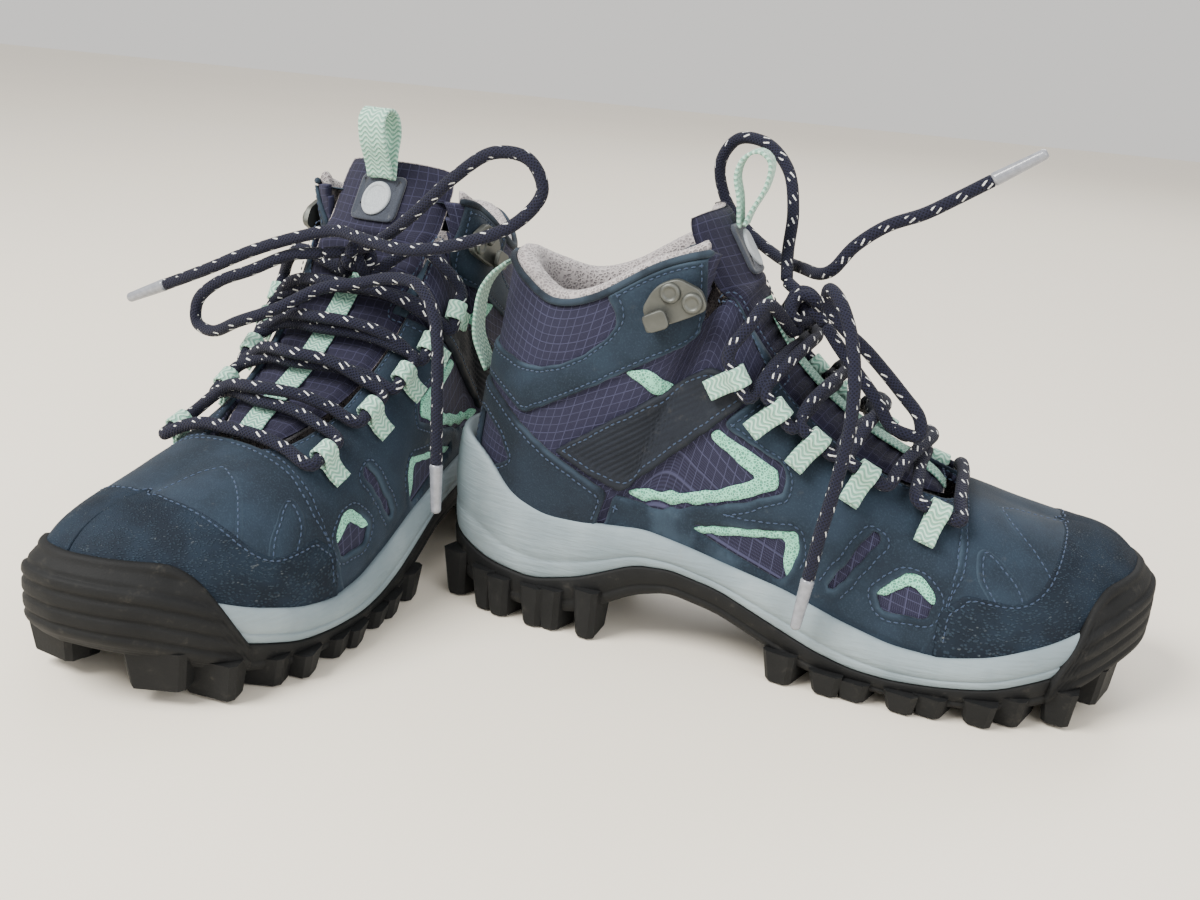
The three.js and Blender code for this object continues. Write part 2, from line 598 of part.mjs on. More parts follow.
function collar() {
  const corners = [];
  const faces = [];
  const rings = [];
  const rise = (steps) => 1 - steps / RISE_STEPS;
  const section = (s, side) => {
    const fullness = THREE.MathUtils.smoothstep(s * LAST_RIB - COLLAR_FROM, 0, COLLAR_EASE);
    const pad = THREE.MathUtils.lerp(COLLAR_PAD_FRONT, COLLAR_PAD, fullness);
    const inside = (v, out, lift) => onSkin(s, side, v, out).add(new THREE.Vector3(0, 0, lift));
    return [
      inside(rise(2), -COLLAR_SEAT, 0),
      inside(rise(1), -COLLAR_SEAT, 0),
      inside(1, -COLLAR_SEAT, 1.4),
      inside(1, -0.3, 1.4),
      inside(1, -0.4, 3.4),
      inside(1, -2.4, 5.2),
      inside(1, -SHELL - pad + 2, 4.2),
      inside(1, -SHELL - pad, 0),
      inside(rise(1), -SHELL - pad + 0.5, 0),
      inside(rise(2), -COLLAR_SEAT - 1.5, 0),
    ];
  };
  const stations = Array.from({ length: LAST_RIB - COLLAR_FROM + 1 }, (_, i) => (COLLAR_FROM + i) / LAST_RIB);
  const route = [...stations.map((s) => [s, 1]), ...stations.slice(0, -1).reverse().map((s) => [s, -1])];
  for (const [s, side] of route) {
    rings.push(section(s, side).map((p) => {
      if (s === 1) p.y = 0;
      return corners.push(p) - 1;
    }));
  }
  const count = rings[0].length;
  for (let i = 0; i + 1 < rings.length; i += 1) {
    for (let k = 0; k < count; k += 1) {
      const m = (k + 1) % count;
      faces.push([rings[i][k], rings[i + 1][k], rings[i + 1][m]], [rings[i][k], rings[i + 1][m], rings[i][m]]);
    }
  }
  const flat = (ring, away) => {
    const outline = [[0, 1, 9], [1, 8, 9], [1, 2, 8], [2, 7, 8], [2, 6, 7], [2, 5, 6], [2, 4, 5], [2, 3, 4]];
    for (const [a, b, c] of outline) {
      faces.push(away ? [ring[a], ring[c], ring[b]] : [ring[a], ring[b], ring[c]]);
    }
  };
  flat(rings[0], false);
  flat(rings[rings.length - 1], true);
  const half = TONGUE_WIDTH / 2 + 2 * GAP;
  const besideTongue = planPrism([[80, -half], [80, half], [150, half], [150, -half]], 60, SKY);
  return cut(solid(corners, faces), besideTongue);
}

// ---------------------------------------------------------------- tongue

const FOLD_GAP = 2.4;            // clear of both halves of the tongue at its fold
const TONGUE_LEAN = 0.62;        // how far the tongue's front goes back for each step up
const TONGUE_FRONT = 118.5;      // its front at the fold
const TONGUE_BEND = 12.5;        // its edges stand this far behind its middle
const TONGUE_TOP_Z = 178;
const TONGUE_RISE = 0.8;         // its raised middle ends this far below the upper's skin
const SLOT_MARGIN = 1.2;         // and this far inside the throat
const TONGUE_TUCK = 4;           // its lower end goes this far below the throat's floor

function tongueLower() {
  const plan = planPrism(TONGUE_PLAN, THROAT_FLOOR - TONGUE_TUCK, FOLD_HEIGHT - FOLD_GAP);
  const slot = planPrism(grown(THROAT, -SLOT_MARGIN), THROAT_FLOOR - TONGUE_TUCK, SKY);
  const under = sheet(-SHELL - GAP, -SHELL - TONGUE_THICK + 1);
  const raised = sheet(-TONGUE_RISE, -SHELL - TONGUE_THICK + 1).intersect(slot);
  return largest(cut(join(under, raised).intersect(plan), shellRoom()));
}

// The front face of the tongue's top: it leans back towards the leg.
const tongueFront = (z) => TONGUE_FRONT - TONGUE_LEAN * (z - FOLD_HEIGHT);
const tongueBend = (y) => TONGUE_BEND * (y / (TONGUE_WIDTH / 2)) ** 2;

function tongueTop() {
  const rows = [0, 0.25, 0.5, 0.75, 0.93, 1];
  const columns = 10;
  const corners = [];
  const faces = [];
  const grid = rows.map((r) => Array.from({ length: columns + 1 }, (_, k) => {
    const share = k / columns * 2 - 1;
    const crown = 1 - 0.1 * Math.abs(share) ** 3;
    const z = THREE.MathUtils.lerp(FOLD_HEIGHT + FOLD_GAP, TONGUE_TOP_Z, r * crown);
    const half = TONGUE_WIDTH / 2 - (r === 1 ? 3 : 0);
    const y = share * half;
    const thick = TONGUE_THICK * (r === 1 || Math.abs(share) === 1 ? 0.4 : 1);
    const x = tongueFront(z) - tongueBend(y);
    const middle = x - TONGUE_THICK / 2;
    return [middle + thick / 2, middle - thick / 2].map((q) => corners.push(new THREE.Vector3(q, y, z)) - 1);
  }));
  const quad = (a, b, c, d) => faces.push([a, b, c], [a, c, d]);
  for (let i = 0; i + 1 < rows.length; i += 1) {
    for (let k = 0; k < columns; k += 1) {
      quad(grid[i][k][0], grid[i][k + 1][0], grid[i + 1][k + 1][0], grid[i + 1][k][0]);
      quad(grid[i][k + 1][1], grid[i][k][1], grid[i + 1][k][1], grid[i + 1][k + 1][1]);
    }
    quad(grid[i][0][1], grid[i][0][0], grid[i + 1][0][0], grid[i + 1][0][1]);
    quad(grid[i][columns][0], grid[i][columns][1], grid[i + 1][columns][1], grid[i + 1][columns][0]);
  }
  const last = rows.length - 1;
  for (let k = 0; k < columns; k += 1) {
    quad(grid[0][k][1], grid[0][k + 1][1], grid[0][k + 1][0], grid[0][k][0]);
    quad(grid[last][k][0], grid[last][k + 1][0], grid[last][k + 1][1], grid[last][k][1]);
  }
  return solid(corners, faces);
}

const LABEL = { half: 11, low: 154, high: 171, thick: 1.2 };

// A plate that follows the tongue's front at a given clearance.
function tonguePatch(half, low, high, clearance, thick) {
  const columns = 4;
  const corners = [];
  const faces = [];
  const lean = 1 / Math.hypot(1, TONGUE_LEAN);
  const grid = [low, high].map((z) => Array.from({ length: columns + 1 }, (_, k) => {
    const y = (k / columns * 2 - 1) * half;
    const x = tongueFront(z) - tongueBend(y) + clearance / lean;
    return [x, x + thick / lean].map((q) => corners.push(new THREE.Vector3(q, y, z)) - 1);
  }));
  const quad = (a, b, c, d) => faces.push([a, b, c], [a, c, d]);
  for (let k = 0; k < columns; k += 1) {
    quad(grid[0][k][1], grid[0][k + 1][1], grid[1][k + 1][1], grid[1][k][1]);
    quad(grid[0][k + 1][0], grid[0][k][0], grid[1][k][0], grid[1][k + 1][0]);
    quad(grid[0][k][0], grid[0][k + 1][0], grid[0][k + 1][1], grid[0][k][1]);
    quad(grid[1][k + 1][0], grid[1][k][0], grid[1][k][1], grid[1][k + 1][1]);
  }
  quad(grid[0][0][0], grid[0][0][1], grid[1][0][1], grid[1][0][0]);
  quad(grid[0][columns][1], grid[0][columns][0], grid[1][columns][0], grid[1][columns][1]);
  return solid(corners, faces);
}

// A flat webbing band along a closed or open centreline in side view, of a width across the boot.
function webbing(line, thick, width, middle) {
  const outer = [];
  const inner = [];
  line.forEach(([x, z], i) => {
    const [px, pz] = line[Math.max(i - 1, 0)];
    const [nx, nz] = line[Math.min(i + 1, line.length - 1)];
    const length = Math.hypot(nx - px, nz - pz);
    const [ax, az] = [-(nz - pz) / length * thick / 2, (nx - px) / length * thick / 2];
    outer.push([x + ax, z + az]);
    inner.push([x - ax, z - az]);
  });
  return sidePrism([...outer, ...inner.reverse()], middle - width / 2, middle + width / 2);
}

// The pull loop on the tongue: webbing folded to a tall loop above the label.
const TONGUE_LOOP_LINE = (() => {
  const low = TONGUE_TOP_Z - 5;
  const x = tongueFront(low) + 3.4;
  return [[x - 0.6, low], [x - 2, low + 8], [x - 4, low + 17], [x - 1.5, low + 24], [x + 4, low + 26.5],
    [x + 8.5, low + 23], [x + 8, low + 14], [x + 3, low + 3], [x + 1.4, low - 2]];
})();

// The pull loop at the heel stands off the leather between its two anchors.
function heelLoopLine() {
  const { foot, top } = ribAt(1);
  const at = (z, out) => [THREE.MathUtils.mapLinear(z, foot[1], top[1], foot[0], top[0]) - out, z];
  const seat = LEATHER_OUT + GAP + WEBBING / 2 + 0.2;
  return [at(144, seat), at(139.5, 8), at(132, 11.6), at(122, 12), at(112, 10.6), at(104, 6.5), at(99, seat)];
}

// ---------------------------------------------------------------- lace loops and hooks

// Where the lace loops stand, in side view from toe to ankle.
const LOOPS = {
  1: [[195.5, 73], [167.5, 85], [147.5, 96], [131.5, 107], [117, 120]],
  '-1': [[196, 71.5], [171, 85], [152, 96], [137, 106], [123, 115.5]],
};
const HOOK_AT = [91, 146];
const HOOK_STAND = 1.4;          // the plate is flat and the leather under it is round
const LACE_CLEAR = 1.3;          // lace in its loop
const LOOP_OUTER = LACE + 2 * LACE_CLEAR + 2 * WEBBING;

// A place on the upper with its own directions: along the eyestay, inwards over the instep, and out.
function spot(side, [x, z], out) {
  const [s, v] = findOnSkin(side, { x, z });
  const normal = skinNormal(s, side, v);
  const step = 0.01;
  const along = skin(s - step, side, v).sub(skin(s + step, side, v));
  const pace = along.length() / (2 * step);
  along.normalize();
  const inward = normal.clone().cross(along).normalize();
  if (inward.y * side > 0) inward.negate();
  along.crossVectors(inward, normal).normalize();
  const place = skin(s, side, v).addScaledVector(normal, out);
  return { side, s, v, place, normal, along, inward, pace };
}

const LOOP_LIFT = STRIP_IN + LOOP_OUTER / 2;
const loopSpots = (side) => LOOPS[side].map((at) => spot(side, at, LOOP_LIFT));

const TAIL_LENGTH = 10;          // the loop's sewn tail
const TAIL_OUT = 6.4;            // from the loop's middle to the tail's

// One lace loop: webbing around the lace with a tail along the upper.
function laceLoop({ place, normal, along, inward }) {
  const outer = new THREE.CylinderGeometry(LOOP_OUTER / 2, LOOP_OUTER / 2, LOOP_WIDTH, 6);
  outer.rotateZ(Math.PI / 2);
  const tail = new THREE.BoxGeometry(LOOP_WIDTH, TAIL_LENGTH, 2 * WEBBING);
  tail.translate(0, -TAIL_OUT, -LOOP_OUTER / 2 + WEBBING);
  const hole = new THREE.CylinderGeometry(LACE / 2 + LACE_CLEAR, LACE / 2 + LACE_CLEAR, LOOP_WIDTH + 4, 6);
  hole.rotateZ(Math.PI / 2);
  const frame = new THREE.Matrix4().makeBasis(along, inward, normal).setPosition(place);
  const parts = [outer, tail, hole].map((g) => fromGeometry(g.applyMatrix4(frame)));
  return cut(join(parts[0], parts[1]), parts[2]);
}

const STRIP_BELOW = 1.2 * LACE;  // the strip's middle lies this far down from the loops'
const STRIP_HEIGHT = 4.4;

// The loops of one side hang on one strip of webbing that lies on the upper below them.
function laceLoops(side) {
  const spots = loopSpots(side);
  const tails = spots.map(({ place, inward }) => place.clone().addScaledVector(inward, -STRIP_BELOW));
  const high = tails.map((p) => [p.x, p.z + STRIP_HEIGHT / 2]);
  const low = tails.map((p) => [p.x, p.z - STRIP_HEIGHT / 2]).reverse();
  const strip = sheet(STRIP_OUT, STRIP_IN)
    .intersect(side > 0 ? sidePrism([...high, ...low], 1, BESIDE) : sidePrism([...high, ...low], -BESIDE, -1));
  return join(strip, ...spots.map(laceLoop));
}

const TAB = [10, 7];             // the hook's tongue, length and height
const TAB_AT = [7, 4.5];
const TAB_LIFT = 4.2;            // its middle above the plate, which leaves room for the lace
const NECK = [3, 7, 5];          // the bend that joins it to the plate
const NECK_AT = [10.6, 4.5, 2];
const RIVETS_AT = [[-8, 2.5], [-1, -4]];
const RIVET_HIGH = 1.4;

function hook(side) {
  const { place, normal, along, inward } = spot(side, HOOK_AT, LEATHER_OUT + HOOK_STAND);
  const [length, height, thick] = PLATE;
  const plate = new THREE.BoxGeometry(length, height, thick);
  plate.translate(0, 0, thick / 2);
  const tab = new THREE.BoxGeometry(...TAB, thick);
  tab.translate(...TAB_AT, thick + TAB_LIFT);
  const neck = new THREE.BoxGeometry(...NECK);
  neck.translate(NECK_AT[0], NECK_AT[1], thick + NECK_AT[2]);
  const rivets = RIVETS_AT.map(([u, v]) => {
    const head = new THREE.CylinderGeometry(RIVET / 2 - 0.8, RIVET / 2, RIVET_HIGH, 8);
    head.rotateX(Math.PI / 2);
    head.translate(u, v, thick + 0.6);
    return head;
  });
  const frame = new THREE.Matrix4().makeBasis(along, inward, normal).setPosition(place);
  return join(...[plate, tab, neck, ...rivets].map((g) => fromGeometry(g.applyMatrix4(frame))));
}

// ---------------------------------------------------------------- lace

const KNOT = [136, 6, 143];
const OVER_TONGUE = LACE / 2 + 3;

const LOOP_REACH = LOOP_WIDTH / 2 + 0.92 * LACE;      // the lace stays straight this far from a loop

// The held lace runs from the knot down one side, across the toe end and up again, crossing itself.
// It passes each loop from one end to the other: an end is 1 towards the toe and -1 towards the ankle.
function laced() {
  const lateral = loopSpots(1);
  const medial = loopSpots(-1);
  const atEnd = ({ side, place, along }, end) => place.clone().addScaledVector(along, -side * end * LOOP_REACH);
  const through = (stop, toEnd) => [atEnd(stop, -toEnd), stop.place.clone(), atEnd(stop, toEnd)];
  const climb = (stop, end, middle, lift) => (t, share) => onSkin(
    THREE.MathUtils.lerp(stop.s - end * LOOP_REACH / stop.pace, middle, t), stop.side,
    THREE.MathUtils.lerp(stop.v, 1, t), OVER_TONGUE + lift * share);
  const bridge = (a, aEnd, b, bEnd, lift) => {
    const middle = (a.s - aEnd * LOOP_REACH / a.pace + b.s - bEnd * LOOP_REACH / b.pace) / 2;
    const up = climb(a, aEnd, middle, lift);
    const down = climb(b, bEnd, middle, lift);
    return [up(0.4, 0.3), up(0.75, 0.8), up(1, 1), down(0.75, 0.8), down(0.4, 0.3)];
  };
  const toKnot = (stop, side) => {
    const rise = climb(stop, -1, stop.s + 0.02, 3);
    return [rise(0.3, 0.7), rise(0.6, 1),
      point(KNOT).add(new THREE.Vector3(-2, side * 5, -KNOT_RADIUS * KNOT_FLAT - LACE / 2 - 0.8))];
  };
  const down = [lateral[4], medial[3], lateral[2], medial[1], lateral[0]];
  const up = [medial[0], lateral[1], medial[2], lateral[3], medial[4]];
  const run = toKnot(down[0], 1).reverse();
  down.forEach((stop, i) => {
    if (i > 0) run.push(...bridge(down[i - 1], 1, stop, -1, 0));
    run.push(...through(stop, 1));
  });
  run.push(...bridge(down[down.length - 1], 1, up[0], 1, 0));
  up.forEach((stop, i) => {
    if (i > 0) run.push(...bridge(up[i - 1], -1, stop, 1, LACE + 0.9));
    run.push(...through(stop, -1));
  });
  run.push(...toKnot(up[up.length - 1], -1));
  return cord(run, LACE);
}

function knot() {
  const ball = new THREE.SphereGeometry(KNOT_RADIUS, 10, 6);
  ball.scale(KNOT_LONG, KNOT_WIDE, KNOT_FLAT);
  ball.translate(...KNOT);
  return fromGeometry(ball);
}

// The free halves of each bow, from the knot through the loop and past the knot to the end.
const BOWS = {
  right: [
    [[127, -4, 150], [125, -14, 160], [124, -24, 175], [119, -33, 190], [108, -40, 199], [95, -46, 199],
      [88, -50, 188], [92, -52, 172], [104, -49, 160], [119, -38, 153], [131, -20, 153], [140, -4, 154.5],
      [145, 2, 158], [152, 4, 168], [163, 3, 177], [176, 2, 183], [187, 1, 190], [199, 0, 198]],
    [[145.5, 8, 137], [152, 12, 130], [160, 15, 122], [169, 18, 113], [176, 20, 104], [182, 22.5, 102.5],
      [187, 22.5, 102.5], [186, 21, 109], [179, 18, 116], [163, 17, 131], [153, 18, 139], [146, 18, 147],
      [146, 23, 154], [151, 31, 152], [157, 39, 142], [161, 46, 127], [162, 51, 108], [160, 54, 88],
      [157, 55, 68], [155, 55.5, 50]],
  ],
  left: [
    [[140, 17, 148], [144, 28, 155], [147, 42, 166], [147, 58, 181], [146, 74, 192], [144, 88, 191],
      [143, 94, 180], [145, 85, 167], [149, 65, 157], [152, 40, 151], [150, 20, 152], [147, 4, 153],
      [149, -14, 148], [153, -34, 140], [156, -54, 130], [158, -76, 120]],
    [[143, -5, 142], [148, -18, 140], [153, -34, 132], [156, -49, 125], [158, -58, 116],
      [159, -58, 107], [161, -48, 105], [163, -33, 112], [161, -15, 120], [154, 2, 130], [149, 18, 134],
      [149, 32, 138], [151, 45, 138], [154, 54, 131], [157, 59, 118], [159, 61, 101], [160, 62, 84],
      [160, 62.5, 68]],
  ],
};

// A thicker lace lies higher, so that its turns stay clear of each other.
const BOW_LIFT = 2.4 * (LACE - DRAWN_LACE);
const pointsOf = (list) => list.map(([x, y, z]) => new THREE.Vector3(x, y, z + BOW_LIFT));

// The sleeve on a lace's end, as long a way past the lace's last point.
function aglet(list) {
  const points = pointsOf(list);
  const tip = points[points.length - 1];
  const heading = tip.clone().sub(points[points.length - 2]).normalize();
  const start = tip.clone().addScaledVector(heading, GAP);
  const end = start.clone().addScaledVector(heading, AGLET_LENGTH);
  const sleeve = new THREE.CylinderGeometry(AGLET / 2 - 0.9, AGLET / 2, AGLET_LENGTH, 10);
  const turn = new THREE.Quaternion().setFromUnitVectors(new THREE.Vector3(0, 1, 0), heading);
  sleeve.applyQuaternion(turn);
  sleeve.translate(...start.lerp(end, 0.5).toArray());
  return fromGeometry(sleeve);
}

// ---------------------------------------------------------------- the pair

function bootPieces(name) {
  const overUpper = filled(LEATHER_OUT + GAP);
  const made = panels();
  const solids = {
    outsole: [outsole(overUpper), 'rubber'],
    midsole: [midsole(overUpper), 'foam'],
    lasting_board: [bed(SHELL + GAP, 0, BOARD), 'board'],
    insole: [bed(SHELL + 2 * GAP, BOARD + GAP, BOARD + GAP + INSOLE), 'insole'],
    upper_shell: [upperShell(), 'textile'],
    toe_cap: [made.toe_cap, 'leather'],
    vamp: [made.vamp, 'leather'],
    quarter_lateral: [made.quarter_lateral, 'leather'],
    quarter_medial: [made.quarter_medial, 'leather'],
    heel_counter: [made.heel_counter, 'leather'],
    ankle_band: [made.ankle_band, 'leather'],
    strap_lateral: [made.strap_lateral, 'strap'],
    strap_medial: [made.strap_medial, 'strap'],
    collar: [collar(), 'lining'],
    tongue_lower: [tongueLower(), 'tongue'],
    tongue_top: [tongueTop(), 'tongue'],
    tongue_label: [tonguePatch(LABEL.half, LABEL.low, LABEL.high, GAP, LABEL.thick), 'tongue'],
    tongue_loop: [webbing(TONGUE_LOOP_LINE, WEBBING, PULL_WIDTH, 0), 'webbing'],
    heel_loop: [webbing(heelLoopLine(), WEBBING, PULL_WIDTH, 0), 'webbing'],
    loops_lateral: [laceLoops(1), 'webbing'],
    loops_medial: [laceLoops(-1), 'webbing'],
    hook_lateral: [hook(1), 'hook'],
    hook_medial: [hook(-1), 'hook'],
    lace_laced: [laced(), 'lace'],
    lace_knot: [knot(), 'lace'],
    lace_bow_a: [cord(pointsOf(BOWS[name][0]), LACE), 'lace'],
    lace_bow_b: [cord(pointsOf(BOWS[name][1]), LACE), 'lace'],
    aglet_a: [aglet(BOWS[name][0]), 'aglet'],
    aglet_b: [aglet(BOWS[name][1]), 'aglet'],
  };
  return solids;
}

// The matrix that puts a boot in its place in the pair.
function placing({ at, turn, mirror }) {
  const flip = new THREE.Matrix4().makeScale(
    BOOT_LENGTH / DRAWN_LENGTH, mirror ? -1 : 1, BOOT_HEIGHT / DRAWN_HEIGHT);
  const spin = new THREE.Matrix4().makeRotationZ(THREE.MathUtils.degToRad(turn));
  const move = new THREE.Matrix4().makeTranslation(at[0] - CENTRE[0], at[1] - CENTRE[1], 0);
  return move.multiply(spin).multiply(flip);
}

function meshOf(made, matrix, name, kind) {
  const data = made.getMesh();
  const geometry = new THREE.BufferGeometry();
  geometry.setAttribute('position', new THREE.Float32BufferAttribute(Array.from(data.vertProperties), 3));
  const turned = matrix.determinant() < 0;
  const order = Array.from(data.triVerts);
  for (let i = 0; turned && i < order.length; i += 3) {
    [order[i + 1], order[i + 2]] = [order[i + 2], order[i + 1]];
  }
  geometry.setIndex(order);
  geometry.applyMatrix4(matrix);
  geometry.computeVertexNormals();
  const [color, roughness, metalness] = COLOURS[kind];
  const mesh = new THREE.Mesh(geometry, new THREE.MeshStandardMaterial({ color, roughness, metalness }));
  mesh.name = name;
  return mesh;
}

const group = new THREE.Group();
for (const boot of [RIGHT, LEFT]) {
  const matrix = placing(boot);
  for (const [piece, [made, kind]] of Object.entries(bootPieces(boot.name))) {
    group.add(meshOf(made, matrix, `${boot.name}_${piece}`, kind));
  }
}

export default group;
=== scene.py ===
# A pair of hiking boots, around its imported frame.
# Shapes are worked out in each boot's own frame, in millimetres: x from the heel's back to the toe,
# y towards the outer side and z up. `Boot.place` puts them in the row's frame, in metres.

import bmesh
import bpy
import math
import numpy as np
from mathutils import Matrix, Vector
from mathutils.geometry import delaunay_2d_cdt


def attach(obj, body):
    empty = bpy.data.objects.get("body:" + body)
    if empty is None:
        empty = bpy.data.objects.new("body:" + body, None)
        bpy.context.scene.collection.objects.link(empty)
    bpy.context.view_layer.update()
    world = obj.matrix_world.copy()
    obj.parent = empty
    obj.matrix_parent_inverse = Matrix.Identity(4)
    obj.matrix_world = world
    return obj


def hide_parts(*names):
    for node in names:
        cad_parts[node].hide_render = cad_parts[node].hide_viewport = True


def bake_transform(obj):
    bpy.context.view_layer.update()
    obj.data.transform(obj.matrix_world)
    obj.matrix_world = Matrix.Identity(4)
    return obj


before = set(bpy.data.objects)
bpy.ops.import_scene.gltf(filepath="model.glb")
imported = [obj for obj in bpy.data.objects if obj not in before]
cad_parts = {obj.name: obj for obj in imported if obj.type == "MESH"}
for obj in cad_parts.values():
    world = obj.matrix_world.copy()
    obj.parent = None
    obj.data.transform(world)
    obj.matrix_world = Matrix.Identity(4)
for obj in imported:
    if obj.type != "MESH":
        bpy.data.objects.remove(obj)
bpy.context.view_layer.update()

MM = 0.001
SHELL = 3.0                      # thickness of the upper's wall
LACE = 5.0                       # diameter
AGLET_LENGTH = 20.0
AGLET_RADIUS = 2.75
TONGUE_WIDTH = 57.0
TONGUE_THICK = 7.0
FOLD_HEIGHT = 150.0              # where the tongue's top turns
WEBBING = 1.4                    # thickness
LOOP_WIDTH = 8.0
PULL_WIDTH = 13.0
SOLE_FLARE = 4.2                 # from the foot line out to the sole's side
SEAM_INSET = 2.5                 # from a panel's edge in to its stitches
PLAN_CENTRE = (81.9, -18.5)      # the place in plan that is the row's origin

# ---------------------------------------------------------------- camera, light and floor

CAMERA_AZIMUTH = math.radians(13.6906)
CAMERA_HEIGHT = math.radians(18.8670)
CAMERA_ROLL = math.radians(4.6501)
CAMERA_PLACE = (181.429, -508.574, 247.548)
CAMERA_LENS = 38.91
CAMERA_SENSOR = 36
CAMERA_REACH = 20                # metres
MIDDLE = (0.0, 0.0, 0.08)        # where the lamps are turned to
LAMPS = (                        # name, place, size, power, colour
    ("key", (-0.9, -0.9, 1.5), 1.0, 70, (1, 0.98, 0.94)),
    ("fill", (1.3, -1.1, 0.9), 1.4, 20, (0.97, 0.98, 1)),
    ("back", (0.2, 1.5, 1.3), 1.2, 14, (1, 1, 1)),
)
SKY = (0.95, 0.93, 0.90, 1)
SKY_STRENGTH = 0.95
FLOOR_REACH = 3.0
FLOOR_DROP = 0.0005              # metres below the lugs


def in_scene(name, data):
    """An object at the origin, in the scene."""
    made = bpy.data.objects.new(name, data)
    bpy.context.scene.collection.objects.link(made)
    return made


def set_camera():
    data = bpy.data.cameras.new("camera")
    data.lens = CAMERA_LENS
    data.sensor_width = CAMERA_SENSOR
    data.clip_end = CAMERA_REACH
    camera = in_scene("camera", data)
    camera.location = [(c - o) * MM for c, o in zip(CAMERA_PLACE, (*PLAN_CENTRE, 0))]
    back = Vector((math.sin(CAMERA_AZIMUTH) * math.cos(CAMERA_HEIGHT),
                   -math.cos(CAMERA_AZIMUTH) * math.cos(CAMERA_HEIGHT), math.sin(CAMERA_HEIGHT)))
    level = (-back).cross(Vector((0, 0, 1))).normalized()
    up = level.cross(-back)
    right = level * math.cos(CAMERA_ROLL) + up * math.sin(CAMERA_ROLL)
    up = back.cross(right)
    camera.rotation_euler = Matrix((right, up, back)).transposed().to_euler()
    bpy.context.scene.camera = camera


def add_light(name, place, size, power, colour):
    data = bpy.data.lights.new(name, "AREA")
    data.shape = "DISK"
    data.size = size
    data.energy = power
    data.color = colour
    lamp = in_scene(name, data)
    lamp.location = place
    lamp.rotation_euler = (Vector(MIDDLE) - Vector(place)).to_track_quat("-Z", "Y").to_euler()


def lay_floor():
    reach, drop = FLOOR_REACH, -FLOOR_DROP
    corners = [(-reach, -reach, drop), (reach, -reach, drop), (reach, reach, drop), (-reach, reach, drop)]
    mesh = bpy.data.meshes.new("floor")
    mesh.from_pydata(corners, [], [(0, 1, 2, 3)])
    mesh.materials.append(FINISHES["floor"])
    in_scene("floor", mesh)


def set_sky():
    world = bpy.data.worlds.new("studio")
    world.use_nodes = True
    background = world.node_tree.nodes["Background"]
    background.inputs["Color"].default_value = SKY
    background.inputs["Strength"].default_value = SKY_STRENGTH
    bpy.context.scene.world = world


# ---------------------------------------------------------------- shader sums

class Value:
    """A shader socket on which sums are written."""

    def __init__(self, maker, socket):
        self.maker = maker
        self.socket = socket

    def sum(self, operation, other=None, turned=False):
        pair = [self] if other is None else [self, other]
        if turned:
            pair.reverse()
        return self.maker.add("ShaderNodeMath", {"operation": operation}, dict(enumerate(pair)))

    def __add__(self, other):
        return self.sum("ADD", other)

    __radd__ = __add__

    def __sub__(self, other):
        return self.sum("SUBTRACT", other)

    def __rsub__(self, other):
        return self.sum("SUBTRACT", other, True)

    def __mul__(self, other):
        return self.sum("MULTIPLY", other)

    __rmul__ = __mul__

    def wave(self, period):
        """From 0 to 1 and back once in each period."""
        return (self * (2 * math.pi / period)).sum("COSINE") * -0.5 + 0.5

    def within(self, low, high):
        """0 below low, 1 above high, even between."""
        return self.maker.add("ShaderNodeMapRange", {"interpolation_type": "SMOOTHSTEP"},
                              {0: self, 1: low, 2: high, 3: 0.0, 4: 1.0})

    def most(self, other):
        """The larger of two values."""
        return self.sum("MAXIMUM", other)


